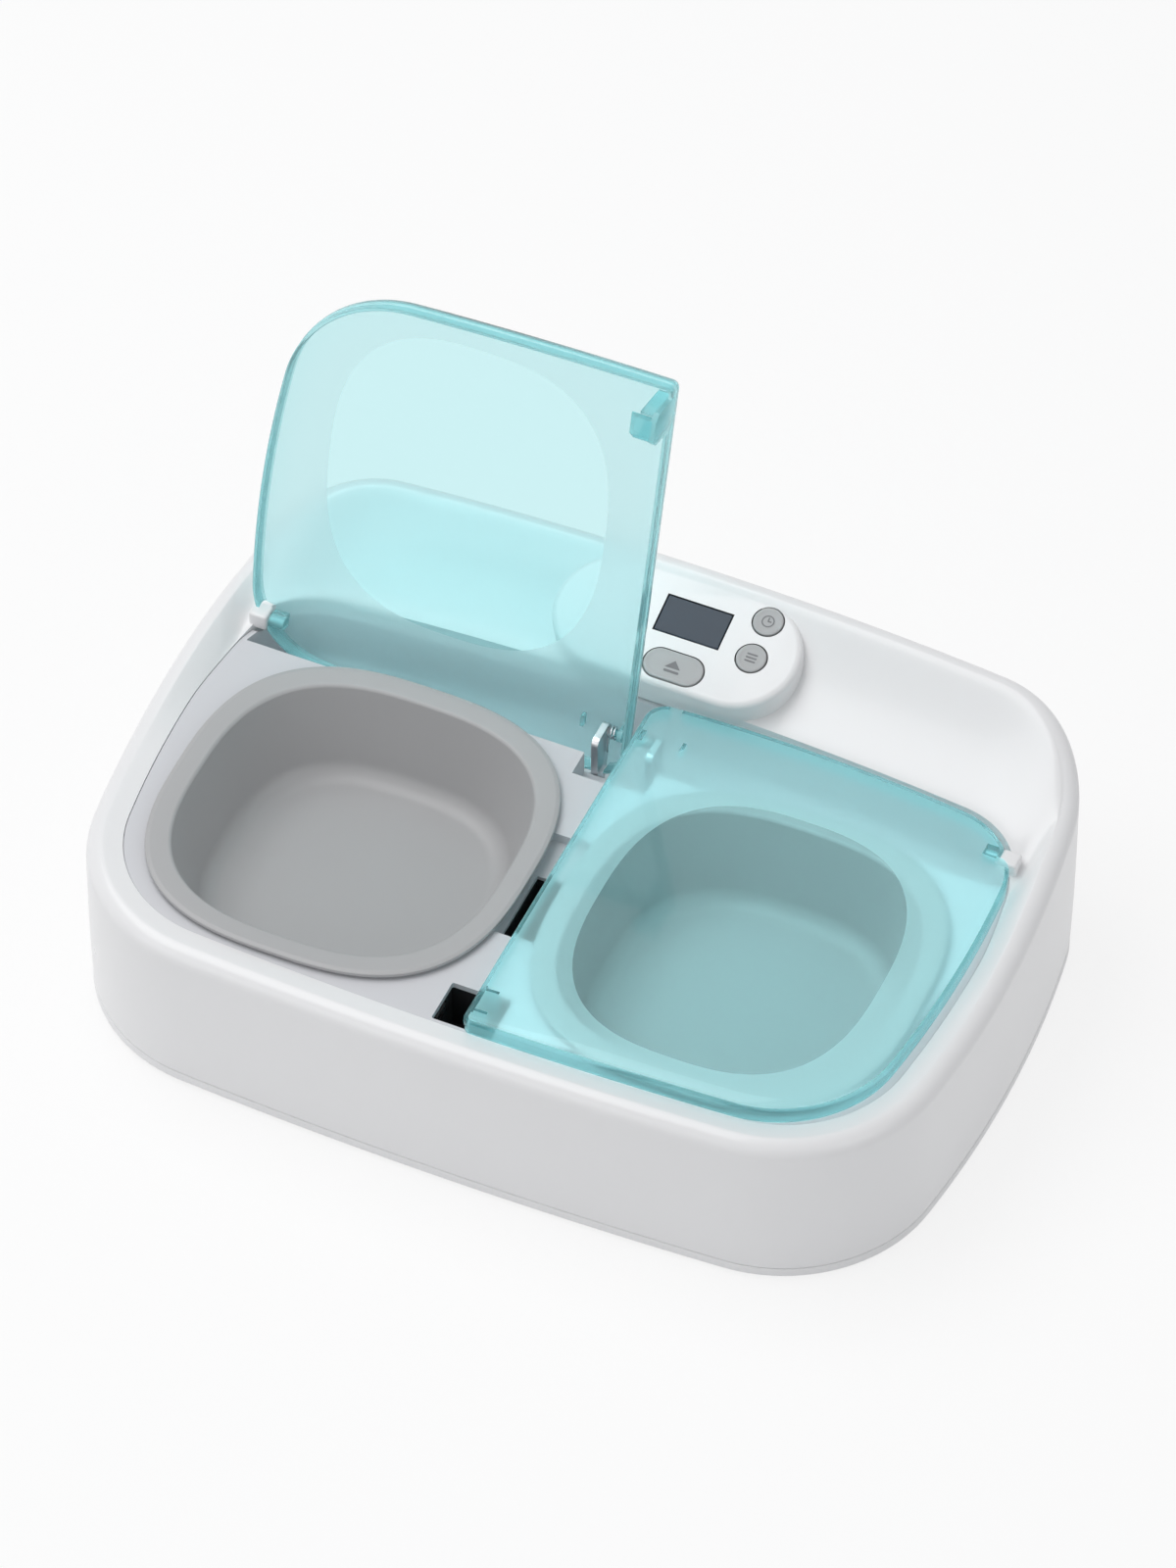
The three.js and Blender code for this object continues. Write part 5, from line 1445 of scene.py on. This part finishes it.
def soft_light(name, place_at, aim, size, power):
    light = bpy.data.lights.new(name, "AREA")
    light.shape = "RECTANGLE"
    light.size, light.size_y = size
    light.energy = power
    lamp = put(name, light)
    lamp.location = place_at
    lamp.rotation_euler = (Vector(aim) - Vector(place_at)).to_track_quat("-Z", "Y").to_euler()


# Camera: the photograph's direction, distance and framing
CAMERA_AZIMUTH = radians(23.89)
CAMERA_ELEVATION = radians(47.75)
CAMERA_ROLL = radians(0.3)
CAMERA_DISTANCE = 4179.8
CAMERA_TARGET = (-0.5, 9.6, 91)
FOCAL_PIXELS = 11342.7
FRAME_HEIGHT_PIXELS = 1600
SENSOR = 36


def make_camera():
    turn = Matrix.Rotation
    spin = (turn(CAMERA_AZIMUTH, 4, "Z") @ turn(pi / 2 - CAMERA_ELEVATION, 4, "X")
            @ turn(CAMERA_ROLL, 4, "Z"))
    data = bpy.data.cameras.new("camera")
    data.sensor_fit = "AUTO"
    data.sensor_width = SENSOR
    data.lens = FOCAL_PIXELS / FRAME_HEIGHT_PIXELS * SENSOR
    data.clip_end = 50
    camera = put("camera", data)
    camera.matrix_world = shift(*CAMERA_TARGET) @ spin @ shift(0, 0, CAMERA_DISTANCE)
    bpy.context.scene.camera = camera


make_camera()
make_world()
make_floor()
soft_light("top softbox", (-0.7, -0.05, 1.65), (0, 0, 0.05), (1.6, 1.2), 16)
soft_light("front fill", (-0.9, -1.6, 0.9), (0, 0, 0.08), (1.4, 0.9), 3)
soft_light("right fill", (1.5, -0.6, 0.9), (0, 0, 0.08), (0.9, 0.9), 2.5)
bpy.context.scene.view_settings.view_transform = "Standard"

finish_nodes()
make_shell()
make_base()
make_feet()
make_deck()
for side_name, side_sign in (("left", -1), ("right", 1)):
    make_bowl(side_name + "_dish", side_sign, "left_bowl" if side_sign < 0 else "housing")
    make_lid(side_name + "_lid", side_sign)
    make_ear(side_name + "_ear", side_sign)
    make_spring(side_name + "_spring", side_sign)
make_buttons()
make_display()

plain = lambda bounds: [[float(value) for value in corner] for corner in bounds]
{"cad": plain(cad_bounds), "visual": plain(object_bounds())}
